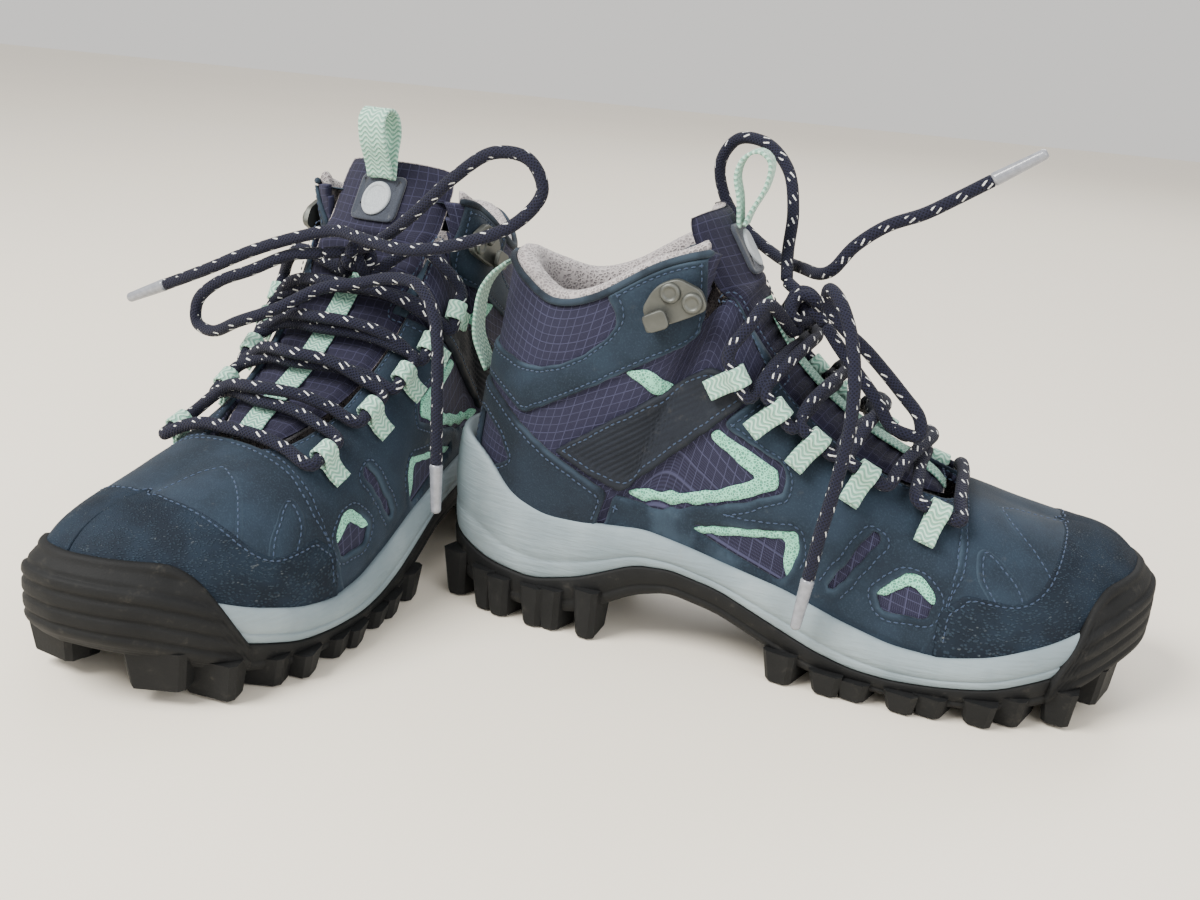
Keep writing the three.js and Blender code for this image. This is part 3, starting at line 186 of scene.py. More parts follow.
class Finish:
    """One material: its nodes are added by `add`, and `finish` sets its surface."""

    def __init__(self, name):
        self.material = bpy.data.materials.new(name)
        self.material.use_nodes = True
        self.nodes = self.material.node_tree.nodes
        self.links = self.material.node_tree.links
        self.surface = self.nodes["Principled BSDF"]

    def add(self, kind, settings=None, inputs=None, output=0):
        node = self.nodes.new(kind)
        for key, value in (settings or {}).items():
            if key == "stops":
                ramp = node.color_ramp
                while len(ramp.elements) < len(value):
                    ramp.elements.new(0.5)
                for element, (place, colour) in zip(ramp.elements, value):
                    element.position = place
                    element.color = (*colour, 1)
            else:
                setattr(node, key, value)
        for key, value in (inputs or {}).items():
            self.feed(node.inputs[key], value)
        return Value(self, node.outputs[output])

    def feed(self, socket, value):
        if isinstance(value, Value):
            self.links.new(value.socket, socket)
        elif hasattr(value, "__len__") and len(value) == 3 and socket.type == "RGBA":
            socket.default_value = (*value, 1)
        else:
            socket.default_value = value

    def place(self):
        return self.add("ShaderNodeTexCoord", output="Object")

    def stretched(self, place, scale, turn=(0, 0, 0)):
        return self.add("ShaderNodeMapping", inputs={"Vector": place, "Scale": scale, "Rotation": turn})

    def along(self):
        """The piece's own map, in millimetres."""
        parts = self.add("ShaderNodeUVMap", {"uv_map": "map"})
        split = self.add("ShaderNodeSeparateXYZ", inputs={0: parts})
        return split, Value(self, split.socket.node.outputs[1])

    def flat(self, a, b):
        return self.add("ShaderNodeCombineXYZ", inputs={0: a, 1: b})

    def noise(self, place, size, detail=3.0, rough=0.5):
        """Cloudy values round 0.5 with this size in millimetres, for a place in metres."""
        return self.add("ShaderNodeTexNoise", inputs={"Vector": place, "Scale": 1 / (size * MM),
                                                      "Detail": detail, "Roughness": rough})

    def cells(self, place, size, feature="F1"):
        return self.add("ShaderNodeTexVoronoi", {"feature": feature},
                        {"Vector": place, "Scale": 1 / (size * MM)})

    def near_edge(self):
        """Distance from the panel's own edge, in millimetres."""
        return self.add("ShaderNodeAttribute", {"attribute_name": "edge"}, output="Fac")

    def blend(self, share, a, b):
        node = self.nodes.new("ShaderNodeMix")
        node.data_type = "RGBA"
        for index, value in ((0, share), (6, a), (7, b)):
            self.feed(node.inputs[index], value)
        return Value(self, node.outputs[2])

    def finish(self, colour, rough, height=None, depth=0.3, strength=1.0, **fixed):
        """depth is the bump's depth in millimetres for a height from 0 to 1."""
        self.feed(self.surface.inputs["Base Color"], colour)
        self.feed(self.surface.inputs["Roughness"], rough)
        if height is not None:
            bump = self.add("ShaderNodeBump", inputs={"Strength": strength, "Distance": depth * MM,
                                                      "Height": height})
            self.feed(self.surface.inputs["Normal"], bump)
        for name, value in fixed.items():
            self.feed(self.surface.inputs[name.replace("_", " ")], value)
        return self.material


# ---------------------------------------------------------------- finishes

MATT = 0.2                       # specular level of leather, dark cloth, lace and rubber


def rgb(*display):
    """A display colour from 0 to 255 as the linear values that a shader takes."""
    return tuple(c / 255 / 12.92 if c <= 10 else ((c / 255 + 0.055) / 1.055) ** 2.4 for c in display)


def nubuck(name="nubuck", base=(33, 46, 60), dark=(21, 31, 42), light=(60, 76, 90)):
    """Napped leather: cloudy, rubbed pale along its edges, pressed dark along its seams."""
    f = Finish(name)
    place = f.place()
    cloud = f.noise(place, 22, 4)
    nap = f.noise(place, 0.7, 3, 0.6)
    pores = f.noise(place, 0.28, 2)
    edge = f.near_edge()
    worn = (1 - edge.within(0.2, 1.6)) * cloud.within(0.4, 0.6)
    seam = 1 - (edge - SEAM_INSET).sum("ABSOLUTE").within(0.2, 1.2)
    colour = f.blend(cloud.within(0.3, 0.7), rgb(*dark), rgb(*base))
    colour = f.blend(nap.within(0.45, 0.8) * 0.35, colour, rgb(*light))
    colour = f.blend(worn * 0.55, colour, rgb(*light))
    colour = f.blend(seam * 0.35, colour, rgb(*dark))
    dust = f.noise(place, 9, 6, 0.7).within(0.62, 0.82)
    colour = f.blend(dust * 0.16, colour, rgb(132, 130, 124))
    return f.finish(colour, 0.72 + nap * 0.2, nap * 0.6 + pores * 0.4, 0.22, Sheen_Weight=0.05,
                    Sheen_Roughness=0.5, Specular_IOR_Level=MATT)


def dotted_leather():
    """Toe cap: leather with a raised dot print, scuffed pale in patches on its dots."""
    f = Finish("toe_cap_leather")
    place = f.place()
    a, b = f.along()
    dots = f.cells(f.flat(a * MM, b * MM), 1.3)
    bead = 1 - dots.within(0.28, 0.5)
    cloud = f.noise(place, 16, 5)
    scuff = f.noise(f.stretched(place, (1, 1, 2.2)), 5, 7, 0.72).within(0.56, 0.74)
    colour = f.blend(cloud.within(0.35, 0.65), rgb(15, 24, 35), rgb(25, 37, 50))
    colour = f.blend(bead * 0.35, colour, rgb(52, 68, 82))
    colour = f.blend(scuff * bead * 0.6, colour, rgb(124, 128, 128))
    return f.finish(colour, 0.7 + cloud * 0.15, bead, 0.32, Specular_IOR_Level=MATT)


def ripstop(name="ripstop", base=(34, 33, 54), line=(84, 86, 116), period=4.0):
    """Thin woven cloth with a raised square grid of paler yarn."""
    f = Finish(name)
    a, b = f.along()
    place = f.place()
    warp = a.wave(0.55)
    weft = b.wave(0.55)
    rib_a = a.wave(period).within(0.955, 0.99)
    rib_b = b.wave(period).within(0.955, 0.99)
    grid = rib_a.most(rib_b)
    cloud = f.noise(place, 12, 3)
    colour = f.blend(cloud, rgb(*[c * 0.8 for c in base]), rgb(*base))
    colour = f.blend(warp * weft * 0.35, colour, rgb(*line))
    colour = f.blend(grid * 0.42, colour, rgb(*line))
    return f.finish(colour, 0.8, warp * 0.25 + weft * 0.25 + grid * 0.6, 0.3, Sheen_Weight=0.03,
                    Specular_IOR_Level=MATT)


def air_mesh(name, light, dark, cell=1.7, depth=0.8):
    """Knitted mesh: small open cells in a soft cloth."""
    f = Finish(name)
    place = f.place()
    holes = f.cells(place, cell, "DISTANCE_TO_EDGE")
    thread = 1 - holes.within(0.08, 0.3)
    cloud = f.noise(place, 14, 3)
    colour = f.blend(thread, rgb(*dark), rgb(*light))
    colour = f.blend(cloud.within(0.4, 0.7) * 0.2, colour, rgb(*dark))
    return f.finish(colour, 0.92, thread, depth, Sheen_Weight=0.3)


def woven_tape(name, light, dark, period=2.1):
    """Webbing: a herringbone across the band, along its own map."""
    f = Finish(name)
    a, b = f.along()
    fold = b.wave(period * 2.6)
    twill = (a + fold * period).wave(period)
    thread = twill.within(0.15, 0.75)
    cloud = f.noise(f.place(), 7, 3)
    colour = f.blend(thread, rgb(*dark), rgb(*light))
    colour = f.blend(cloud.within(0.5, 0.8) * 0.3, colour, rgb(*dark))
    return f.finish(colour, 0.85, thread, 0.35, Sheen_Weight=0.2)


def braid():
    """Lace: a dark round braid, with pairs of pale slanting flecks."""
    f = Finish("lace_braid")
    a, b = f.along()
    strand_one = (a + b * 0.9).wave(1.6)
    strand_two = (a - b * 0.9).wave(1.6)
    strands = strand_one.most(strand_two)
    slant = (a * 0.5 + b * 0.87).wave(2.6).within(0.78, 0.92)
    dash = (a * 0.87 - b * 0.5).wave(8.6).within(0.72, 0.82)
    fleck = slant * dash * b.wave(7.85).within(0.4, 0.6)
    colour = f.blend(strands, rgb(9, 10, 20), rgb(26, 28, 47))
    colour = f.blend(fleck, colour, rgb(226, 228, 226))
    return f.finish(colour, 0.78, strands, 0.45, Sheen_Weight=0.04, Specular_IOR_Level=MATT)


def foam():
    """Midsole: pale moulded foam with fine wrinkles along it, painted shade in the wrinkles' hollows, and a
    little dirt.
    """
    f = Finish("midsole_foam")
    a, b = f.along()
    creases = f.noise(f.flat(a * 0.12 * MM, b * MM), 1.7, 4, 0.6)
    place = f.place()
    cloud = f.noise(place, 30, 4)
    dirt = f.noise(place, 5, 7, 0.7).within(0.58, 0.8)
    colour = f.blend(cloud.within(0.3, 0.7), rgb(114, 129, 136), rgb(137, 151, 157))
    # painted shade: the foam is darkened in the wrinkles' hollows, where the crease height is low
    colour = f.blend(creases.within(0.55, 0.3) * 0.25, colour, rgb(112, 128, 136))
    colour = f.blend(dirt * 0.3, colour, rgb(122, 120, 110))
    return f.finish(colour, 0.62 + cloud * 0.15, creases, 0.55)


def sole_rubber(name="sole_rubber", base=(27, 28, 29), dark=(14, 15, 16)):
    """Black rubber with fine grain and dry dust."""
    f = Finish(name)
    place = f.place()
    cloud = f.noise(place, 12, 5)
    grain = f.noise(place, 0.5, 3)
    dust = f.noise(place, 6, 7, 0.75).within(0.55, 0.78)
    colour = f.blend(cloud, rgb(*dark), rgb(*base))
    colour = f.blend(dust * 0.22, colour, rgb(104, 100, 92))
    return f.finish(colour, 0.68 + dust * 0.2, grain + cloud * 0.3, 0.18, Specular_IOR_Level=MATT)


def hook_metal():
    """Dull plated metal."""
    f = Finish("hook_metal")
    place = f.place()
    cloud = f.noise(place, 4, 4)
    colour = f.blend(cloud, rgb(74, 76, 74), rgb(104, 106, 101))
    return f.finish(colour, 0.42 + cloud * 0.16, f.noise(place, 0.4, 2), 0.04, Metallic=0.75)


def aglet_plastic():
    """Smooth grey plastic over the lace's end."""
    f = Finish("aglet_plastic")
    cloud = f.noise(f.place(), 2.5, 3)
    colour = f.blend(cloud, rgb(96, 99, 108), rgb(152, 155, 163))
    return f.finish(colour, 0.16 + cloud * 0.1, cloud, 0.05, Coat_Weight=0.6)


def cloth(name, light, dark, size=0.8):
    """Fuzzy cloth, board or moulded plastic in two close colours."""
    f = Finish(name)
    fuzz = f.noise(f.place(), size, 4, 0.6)
    colour = f.blend(fuzz.within(0.3, 0.7), rgb(*dark), rgb(*light))
    return f.finish(colour, 0.92, fuzz, 0.2, Sheen_Weight=0.2)


def floor_paint():
    f = Finish("floor")
    cloud = f.noise(f.place(), 300, 3)
    return f.finish(f.blend(cloud, rgb(243, 234, 217), rgb(247, 239, 224)), 0.42)


FINISHES = {
    "nubuck": nubuck(),
    "nubuck_dark": nubuck("nubuck_dark", (27, 37, 49), (17, 24, 33), (54, 68, 81)),
    "toe": dotted_leather(),
    "ripstop": ripstop(),
    "tongue": ripstop("tongue_cloth", (28, 27, 45), (66, 66, 94)),
    "accent": air_mesh("mint_mesh", (134, 214, 184), (74, 146, 124), 1.1, 0.5),
    "lining": air_mesh("lining_mesh", (178, 171, 171), (138, 131, 133), 1.6, 0.6),
    "webbing": woven_tape("mint_webbing", (176, 214, 196), (118, 166, 148)),
    "tape": woven_tape("tongue_tape", (164, 208, 188), (98, 150, 134), 1.8),
    "lace": braid(),
    "foam": foam(),
    "rubber": sole_rubber(),
    "strap": sole_rubber("strap_rubber", (34, 39, 48), (22, 26, 34)),
    "metal": hook_metal(),
    "aglet": aglet_plastic(),
    "insole": cloth("insole_cloth", (66, 70, 76), (44, 47, 52)),
    "board": cloth("board_fibre", (196, 184, 160), (160, 148, 124)),
    "thread": cloth("thread", (50, 70, 98), (32, 48, 72), 0.3),
    "badge": cloth("badge_plastic", (52, 58, 70), (36, 41, 52), 0.5),
    "badge_ring": cloth("badge_ring", (176, 182, 186), (150, 156, 162), 0.5),
    "floor": floor_paint(),
}

# ---------------------------------------------------------------- the last's skin

# Ribs from the toe's tip to the back of the heel: foot x, z, outer and inner half width; top x, z, outer
# and inner half width; outer and inner swell; power; late; plain.
RIBS = np.array([
    [281, 37, -14, 14, 246, 66, -7, 7, 0, 0, 2.5, 1, 0],
    [277, 35, 3, 28, 244, 66.5, -7, 7, 0, 0, 2.5, 1, 0],
    [265, 31, 21, 36, 240, 67, -6.5, 6.5, 0, 0, 2.5, 1, 0],
    [249, 27, 34, 40, 232, 69, -6, 6, 0, 0, 2.5, 1, 0],
    [226, 22, 43, 42, 219, 73, -4, 4, 0, 0, 2.6, 1, 0],
    [200, 19, 45, 39.5, 202, 79, -2.5, 2.5, 0, 0, 3.0, 1, 0],
    [172, 23, 43, 34.5, 182, 89, -1, 1, 1, 2, 3.3, 0.9, 0],
    [146, 31, 40.5, 31, 160, 101, 0, 0, 4, 7, 3.8, 0.7, 0],
    [122, 37, 37.5, 30, 138, 118, 0, 0, 8, 11, 4.0, 0.4, 0],
    [100, 41, 35.5, 31, 122, 140, 0, 0, 9, 11, 4.2, 0.1, 0],
    [82, 42, 34.5, 32, 112, 160, 4, 4, 7, 8, 4.2, 0, 0.1],
    [66, 41.5, 34, 32.5, 103, 163, 36, 36, 8, 8, 3.0, 0, 0.8],
    [50, 40.5, 33, 32, 84, 156, 38.5, 38.5, 8, 8, 3.0, 0, 1],
    [34, 39.5, 30.5, 30, 60, 141, 37.5, 37.5, 4, 4, 3.0, 0, 1],
    [19, 38.5, 25, 25, 42, 136, 31.5, 31.5, 0, 0, 3.0, 0, 1],
    [8, 38, 17, 17, 27, 141, 21, 21, 0, 0, 3.0, 0, 1],
    [2.5, 38, 8.5, 8.5, 18, 146, 10, 10, 0, 0, 3.0, 0, 1],
    [1, 38, 0, 0, 16, 147.5, 0, 0, 0, 0, 3.0, 0, 1],
])
LAST_RIB = len(RIBS) - 1
SHAFT = 10 / LAST_RIB            # from here to the heel the two sides don't meet over the foot
NORMAL_STEP = 4e-3               # station step for the skin's slope
APART = 1e-9                     # keeps the inner side's top from the outer side's


def rib_at(s):
    """The rib's numbers at stations between ribs, on a smooth curve through them."""
    place = np.clip(s, 0, 1) * LAST_RIB
    low = np.minimum(np.floor(place).astype(int), LAST_RIB - 1)
    a, b, c, d = (RIBS[np.clip(low + k, 0, LAST_RIB)] for k in (-1, 0, 1, 2))
    t = (place - low)[..., None]
    square, cube = 2 * a - 5 * b + 4 * c - d, 3 * b - a - 3 * c + d
    return 0.5 * (2 * b + (c - a) * t + square * t ** 2 + cube * t ** 3)


def skin(s, u):
    """Points of the skin: station s from toe to heel, and u from the outer foot (0) over to the inner (2)."""
    s, u = np.broadcast_arrays(np.asarray(s, float), np.asarray(u, float))
    rib = rib_at(s)
    outer = u <= 1
    v = np.clip(np.where(outer, u, 2 - u), 0, 1)
    side = np.where(outer, 1.0, -1.0)
    angle = v * math.pi / 2
    power, late, plain = rib[..., 10], np.clip(rib[..., 11], 0, 1), np.clip(rib[..., 12], 0, 1)
    rise = np.sin(angle) ** (2 / power) * (1 - plain) + v * plain
    inward = (1 - np.clip(np.cos(angle), 0, 1) ** (2 / power)) * (1 - plain) + v * plain
    foot = np.where(outer, rib[..., 2], rib[..., 3])
    top = np.where(outer, rib[..., 6], rib[..., 7])
    swell = np.where(outer, rib[..., 8], rib[..., 9]) * rise * (1 - inward)
    forward = rise * (1 - late) + inward * late
    return np.stack([rib[..., 0] + (rib[..., 4] - rib[..., 0]) * forward,
                     side * (foot + (top - foot) * inward + swell),
                     rib[..., 1] + (rib[..., 5] - rib[..., 1]) * rise], -1)


def unit(v):
    """Vectors made one long."""
    return v / np.maximum(np.linalg.norm(v, axis=-1, keepdims=True), 1e-9)


def skin_normal(s, u):
    """The skin's outward direction."""
    s, u = np.broadcast_arrays(np.asarray(s, float), np.asarray(u, float))
    e = NORMAL_STEP
    apart = s > SHAFT - 0.06
    low = np.where(apart & (u > 1), np.maximum(u - e, 1 + APART), np.maximum(u - e, 0))
    high = np.where(apart & (u <= 1), np.minimum(u + e, 1), np.minimum(u + e, 2))
    u_in = np.clip(u, 0.03, 1.97)
    along = skin(np.minimum(s + e, 1), u_in) - skin(np.maximum(s - e, 0), u_in)
    return unit(np.cross(along, skin(s, high) - skin(s, low)))


def on_skin(s, u, out):
    """Points this far out from the skin."""
    s, u = np.broadcast_arrays(np.asarray(s, float), np.asarray(u, float))
    return skin(s, u) + skin_normal(s, u) * np.asarray(out, float)[..., None]


def up_side(side, v):
    """u for a share v of the way up the outer side (1) or the inner (-1)."""
    return v if side > 0 else 2 - v * (1 - APART)


SEARCH_S, SEARCH_V = np.meshgrid(np.linspace(0, 1, 401), np.linspace(0, 1, 141), indexing="ij")
SEARCH = {side: skin(SEARCH_S, up_side(side, SEARCH_V)) for side in (1, -1)}


def locate(side, axes, points):
    """The (s, v) of skin points whose coordinates on these two axes are given."""
    grid = SEARCH[side][..., axes]
    found = []
    for want in points:
        miss = ((grid - np.array(want[:2], float)) ** 2).sum(-1)
        i, j = np.unravel_index(np.argmin(miss), miss.shape)
        found.append((SEARCH_S[i, j], SEARCH_V[i, j]))
    return found


# ---------------------------------------------------------------- outlines

def smooth_outline(points, corner=2.2, step=1.6, closed=True):
    """An outline with its corners rounded, in even steps. Wide corners become curves."""
    points = [np.array(p, float) for p in points]
    count = len(points)
    out = []
    for i, here in enumerate(points):
        if not closed and i in (0, count - 1):
            out.append(here)
            continue
        before, after = points[i - 1], points[(i + 1) % count]
        a, b = here - before, after - here
        la, lb = np.linalg.norm(a), np.linalg.norm(b)
        if la < 1e-6 or lb < 1e-6:
            continue
        bend = math.degrees(math.acos(np.clip(a @ b / la / lb, -1, 1)))
        reach = min(la, lb) * 0.5 if bend < 42 else min(corner, 0.45 * min(la, lb))
        start, end = here - a / la * reach, here + b / lb * reach
        for t in np.linspace(0, 1, 7):
            out.append(start * (1 - t) ** 2 + here * 2 * t * (1 - t) + end * t ** 2)
    return even_steps(np.array(out), step, closed)


def distances(line):
    """The distance along a line to each of its points."""
    return np.concatenate([[0], np.cumsum(np.linalg.norm(np.diff(line, axis=0), axis=1))])


def along_line(line, wanted):
    """The points at these distances along a line."""
    lengths = distances(line)
    return np.stack([np.interp(wanted, lengths, line[:, k]) for k in range(line.shape[1])], -1)


def even_steps(points, step, closed=False):
    line = np.vstack([points, points[:1]]) if closed else points
    total = distances(line)[-1]
    count = max(int(round(total / step)), 3)
    return along_line(line, np.linspace(0, total, count + (0 if closed else 1), endpoint=not closed))


def smooth_route(points, step=1.2):
    """A smooth line through points, in even steps."""
    p = np.array(points, float)
    p = np.vstack([2 * p[0] - p[1], p, 2 * p[-1] - p[-2]])
    out = []
    for i in range(1, len(p) - 2):
        a, b, c, d = p[i - 1:i + 3]
        t0 = 0.0
        t1 = t0 + math.sqrt(np.linalg.norm(b - a))
        t2 = t1 + math.sqrt(np.linalg.norm(c - b))
        t3 = t2 + math.sqrt(np.linalg.norm(d - c))
        for t in np.linspace(t1, t2, 8, endpoint=False):
            ab = a * (t1 - t) / (t1 - t0) + b * (t - t0) / (t1 - t0)
            bc = b * (t2 - t) / (t2 - t1) + c * (t - t1) / (t2 - t1)
            cd = c * (t3 - t) / (t3 - t2) + d * (t - t2) / (t3 - t2)
            abc = ab * (t2 - t) / (t2 - t0) + bc * (t - t0) / (t2 - t0)
            bcd = bc * (t3 - t) / (t3 - t1) + cd * (t - t1) / (t3 - t1)
            out.append(abc * (t2 - t) / (t2 - t1) + bcd * (t - t1) / (t2 - t1))
    out.append(p[-2])
    return even_steps(np.array(out), step)


def edge_distance(points, outline):
    """Distance of each point from a closed outline."""
    a = outline[None, :, :]
    ab = np.roll(outline, -1, axis=0)[None] - a
    ap = points[:, None, :] - a
    t = np.clip((ap * ab).sum(-1) / np.maximum((ab ** 2).sum(-1), 1e-12), 0, 1)
    return np.sqrt(((ap - ab * t[..., None]) ** 2).sum(-1).min(1))


def inside(points, outline):
    x, y = points[:, 0:1], points[:, 1:2]
    a = outline
    b = np.roll(outline, -1, axis=0)
    crosses = (a[:, 1] > y) != (b[:, 1] > y)
    at = a[:, 0] + (y - a[:, 1]) / np.where(b[:, 1] == a[:, 1], 1e-9, b[:, 1] - a[:, 1]) * (b[:, 0] - a[:, 0])
    return (crosses & (x < at)).sum(1) % 2 == 1


def inset(outline, margin):
    """An outline drawn inwards by a margin."""
    area = (outline[:, 0] * np.roll(outline[:, 1], -1) - outline[:, 1] * np.roll(outline[:, 0], -1)).sum()
    along = unit(np.roll(outline, -1, axis=0) - np.roll(outline, 1, axis=0))
    normal = np.stack([-along[:, 1], along[:, 0]], -1) * np.sign(area)
    return outline + normal * margin


# ---------------------------------------------------------------- pieces

class Boot:
    def __init__(self, name, at, turn, mirror):
        self.name = name
        self.body = f"{name}_boot"
        c, n = math.cos(math.radians(turn)), math.sin(math.radians(turn))
        spin = np.array([[c, -n, 0], [n, c, 0], [0, 0, 1]])
        self.turn = spin @ np.diag([1, -1 if mirror else 1, 1])
        self.move = np.array([at[0] - PLAN_CENTRE[0], at[1] - PLAN_CENTRE[1], 0])
        self.mirror = mirror

    def place(self, points):
        return (np.asarray(points, float) @ self.turn.T + self.move) * MM


BOOTS = [Boot("right", (0, 0), 0, True), Boot("left", (-34.5, 119.5), -98.97, False)]
SIDES = ((1, "lateral"), (-1, "medial"))


def make_piece(boot, name, points, faces, finish, mapped=None, edge=None, smooth=True, second=None):
    """A mesh piece from points in the boot's frame. mapped: a map in mm. second: (finish, face flags)."""
    mesh = bpy.data.meshes.new(f"{boot.name}_{name}")
    turned = [tuple(reversed(f)) for f in faces] if boot.mirror else [tuple(f) for f in faces]
    mesh.from_pydata(boot.place(points).tolist(), [], turned)
    mesh.materials.append(FINISHES[finish])
    if second is not None:
        mesh.materials.append(FINISHES[second[0]])
        mesh.polygons.foreach_set("material_index", np.array(second[1], np.int32))
    if mapped is not None:
        layer = mesh.uv_layers.new(name="map")
        corners = np.zeros(len(mesh.loops), np.int32)
        mesh.loops.foreach_get("vertex_index", corners)
        layer.data.foreach_set("uv", np.asarray(mapped, np.float32)[corners].ravel())
    if edge is not None:
        mark = mesh.attributes.new("edge", "FLOAT", "POINT")
        mark.data.foreach_set("value", np.asarray(edge, np.float32))
    if smooth:
        mesh.shade_smooth()
    mesh.validate()
    return in_scene(f"{boot.name}_{name}_look", mesh)


def settle(boot, piece, nodes, body=None):
    """Says what a piece rides on and hides the imported parts that it stands for."""
    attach(piece, body or boot.body)
    if nodes:
        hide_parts(*[f"{boot.name}_{n}" for n in nodes])
    return piece


def grid_faces(rows, columns, wrap=False):
    faces = []
    for i in range(rows - 1):
        for j in range(columns if wrap else columns - 1):
            k = (j + 1) % columns
            faces.append((i * columns + j, i * columns + k, (i + 1) * columns + k, (i + 1) * columns + j))
    return faces


def end_faces(rows, columns):
    """The faces that close the first and the last ring of a wrapped grid."""
    return [tuple(range(columns)), tuple((rows - 1) * columns + k for k in reversed(range(columns)))]


def rim_faces(faces, count):
    """Faces from the open edges of a layer to the same edges of a second layer, count points on."""
    edges = dict.fromkeys((p, q) for f in faces for p, q in zip(f, (*f[1:], f[0])))
    return [(q, p, p + count, q + count) for p, q in edges if (q, p) not in edges]


def tidy(piece, outward=False, distance=0.02):
    """Joins points that lie on each other, and turns the faces outwards where that is asked."""
    work = bmesh.new()
    work.from_mesh(piece.data)
    bmesh.ops.remove_doubles(work, verts=work.verts, dist=distance * MM)
    bmesh.ops.dissolve_degenerate(work, edges=work.edges, dist=1e-6)
    if outward:
        bmesh.ops.recalc_face_normals(work, faces=work.faces)
    work.to_mesh(piece.data)
    work.free()
    return piece


def tube(boot, name, route, radius, finish, sides=14, taper=0.0):
    """A tube along a route, closed at both ends, with its own map: length along and distance round."""
    route = np.asarray(route, float)
    count = len(route)
    heading = unit(np.gradient(route, axis=0))
    normal = np.zeros_like(route)
    first = np.array([0, 0, 1], float)
    if abs(first @ heading[0]) > 0.95:
        first = np.array([0, 1, 0], float)
    normal[0] = unit(first - heading[0] * (first @ heading[0]))
    for i in range(1, count):
        step = normal[i - 1] - heading[i] * (normal[i - 1] @ heading[i])
        normal[i] = unit(step)
    across = np.cross(heading, normal)
    lengths = distances(route)
    cap = min(radius * 0.35, 0.8)
    ends = np.minimum(lengths, lengths[-1] - lengths)
    width = radius * (1 - taper * lengths / lengths[-1]) * (1 - 0.35 * np.clip(1 - ends / cap, 0, 1))
    angle = np.linspace(0, 2 * math.pi, sides + 1)
    cosine, sine = np.cos(angle)[None, :, None], np.sin(angle)[None, :, None]
    ring = cosine * across[:, None] + sine * normal[:, None]
    points = route[:, None] + ring * width[:, None, None]
    mapped = np.stack(np.broadcast_arrays(lengths[:, None], angle[None] * 2.5), -1)
    points = points.reshape(-1, 3)
    faces = grid_faces(count, sides + 1)
    last = len(points)
    points = np.vstack([points, route[0], route[-1]])
    mapped = np.vstack([mapped.reshape(-1, 2), [0, 0], [lengths[-1], 0]])
    base = (count - 1) * (sides + 1)
    for k in range(sides):
        faces.append((last, k + 1, k))
        faces.append((last + 1, base + k, base + k + 1))
    piece = make_piece(boot, name, points, faces, finish, mapped)
    return tidy(piece, outward=True, distance=0.001)


def ribbon(boot, name, line, width, thick, finish, sideways=(0, 1, 0)):
    """A flat band along a line, with rounded edges and its own map."""
    line = np.asarray(line, float)
    heading = unit(np.gradient(line, axis=0))
    side = unit(np.broadcast_to(np.asarray(sideways, float), line.shape))
    side = unit(side - heading * (side * heading).sum(-1, keepdims=True))
    out = np.cross(heading, side)
    half, deep = width / 2, thick / 2
    section = [(-half, 0), (-half + 0.25, deep), (-half + 1.1, deep), (0, deep * 0.9), (half - 1.1, deep),
               (half - 0.25, deep), (half, 0), (half - 0.25, -deep), (half - 1.1, -deep), (0, -deep * 0.9),
               (-half + 1.1, -deep), (-half + 0.25, -deep)]
    lengths = distances(line)
    rows = [line + side * a + out * b for a, b in section]
    points = np.stack(rows, 1)
    mapped = np.stack(np.broadcast_arrays(lengths[:, None], np.array([a for a, _ in section])[None]), -1)
    faces = grid_faces(len(line), len(section), wrap=True) + end_faces(len(line), len(section))
    piece = make_piece(boot, name, points.reshape(-1, 3), faces, finish, mapped.reshape(-1, 2))
    return tidy(piece, outward=True, distance=0.001)


# ---------------------------------------------------------------- panels on the skin

MAP_LONG = 340.0                 # millimetres along the skin from toe to heel
MAP_HIGH = 112.0                 # and from the foot to the ridge
SEAMS = {boot.name: [] for boot in BOOTS}


def chart_side(side, axes, points, closed=False):
    """Points given in side view or plan, as map places on one side."""
    points = smooth_outline(points, 0.8, 3.0, closed)
    return [(s * MAP_LONG, (v if side > 0 else 2 - v) * MAP_HIGH) for s, v in locate(side, axes, points)]


def chart_heel(side, axes, points, closed=False):
    """The same for a map that runs round the heel, with the inner side beyond it."""
    points = smooth_outline(points, 0.8, 3.0, closed)
    return [((s if side > 0 else 2 - s) * MAP_LONG, v * MAP_HIGH) for s, v in locate(side, axes, points)]


PANEL_BASE = 0.05                # the underside's place over the skin
OUTLINE_ROWS = (0.3, 0.8, 1.5, SEAM_INSET - 0.45, SEAM_INSET, SEAM_INSET + 0.5)
INNER_CLEAR = SEAM_INSET + 1.4   # the loose points inside keep this far from an outline
OUTLINE_CLEAR = 0.22
SEAM_DENT, SEAM_DENT_WIDE = 0.28, 0.55
SMALLEST_FACE = 1e-5


def over(m):
    """A map place as (s, u)."""
    return m[:, 0] / MAP_LONG, m[:, 1] / MAP_HIGH


def round_heel(m):
    """A place on the heel's map as (s, u)."""
    q, v = m[:, 0] / MAP_LONG, m[:, 1] / MAP_HIGH
    outer = q <= 1
    return np.where(outer, q, 2 - q), np.where(outer, v, 2 - v - 1e-9)


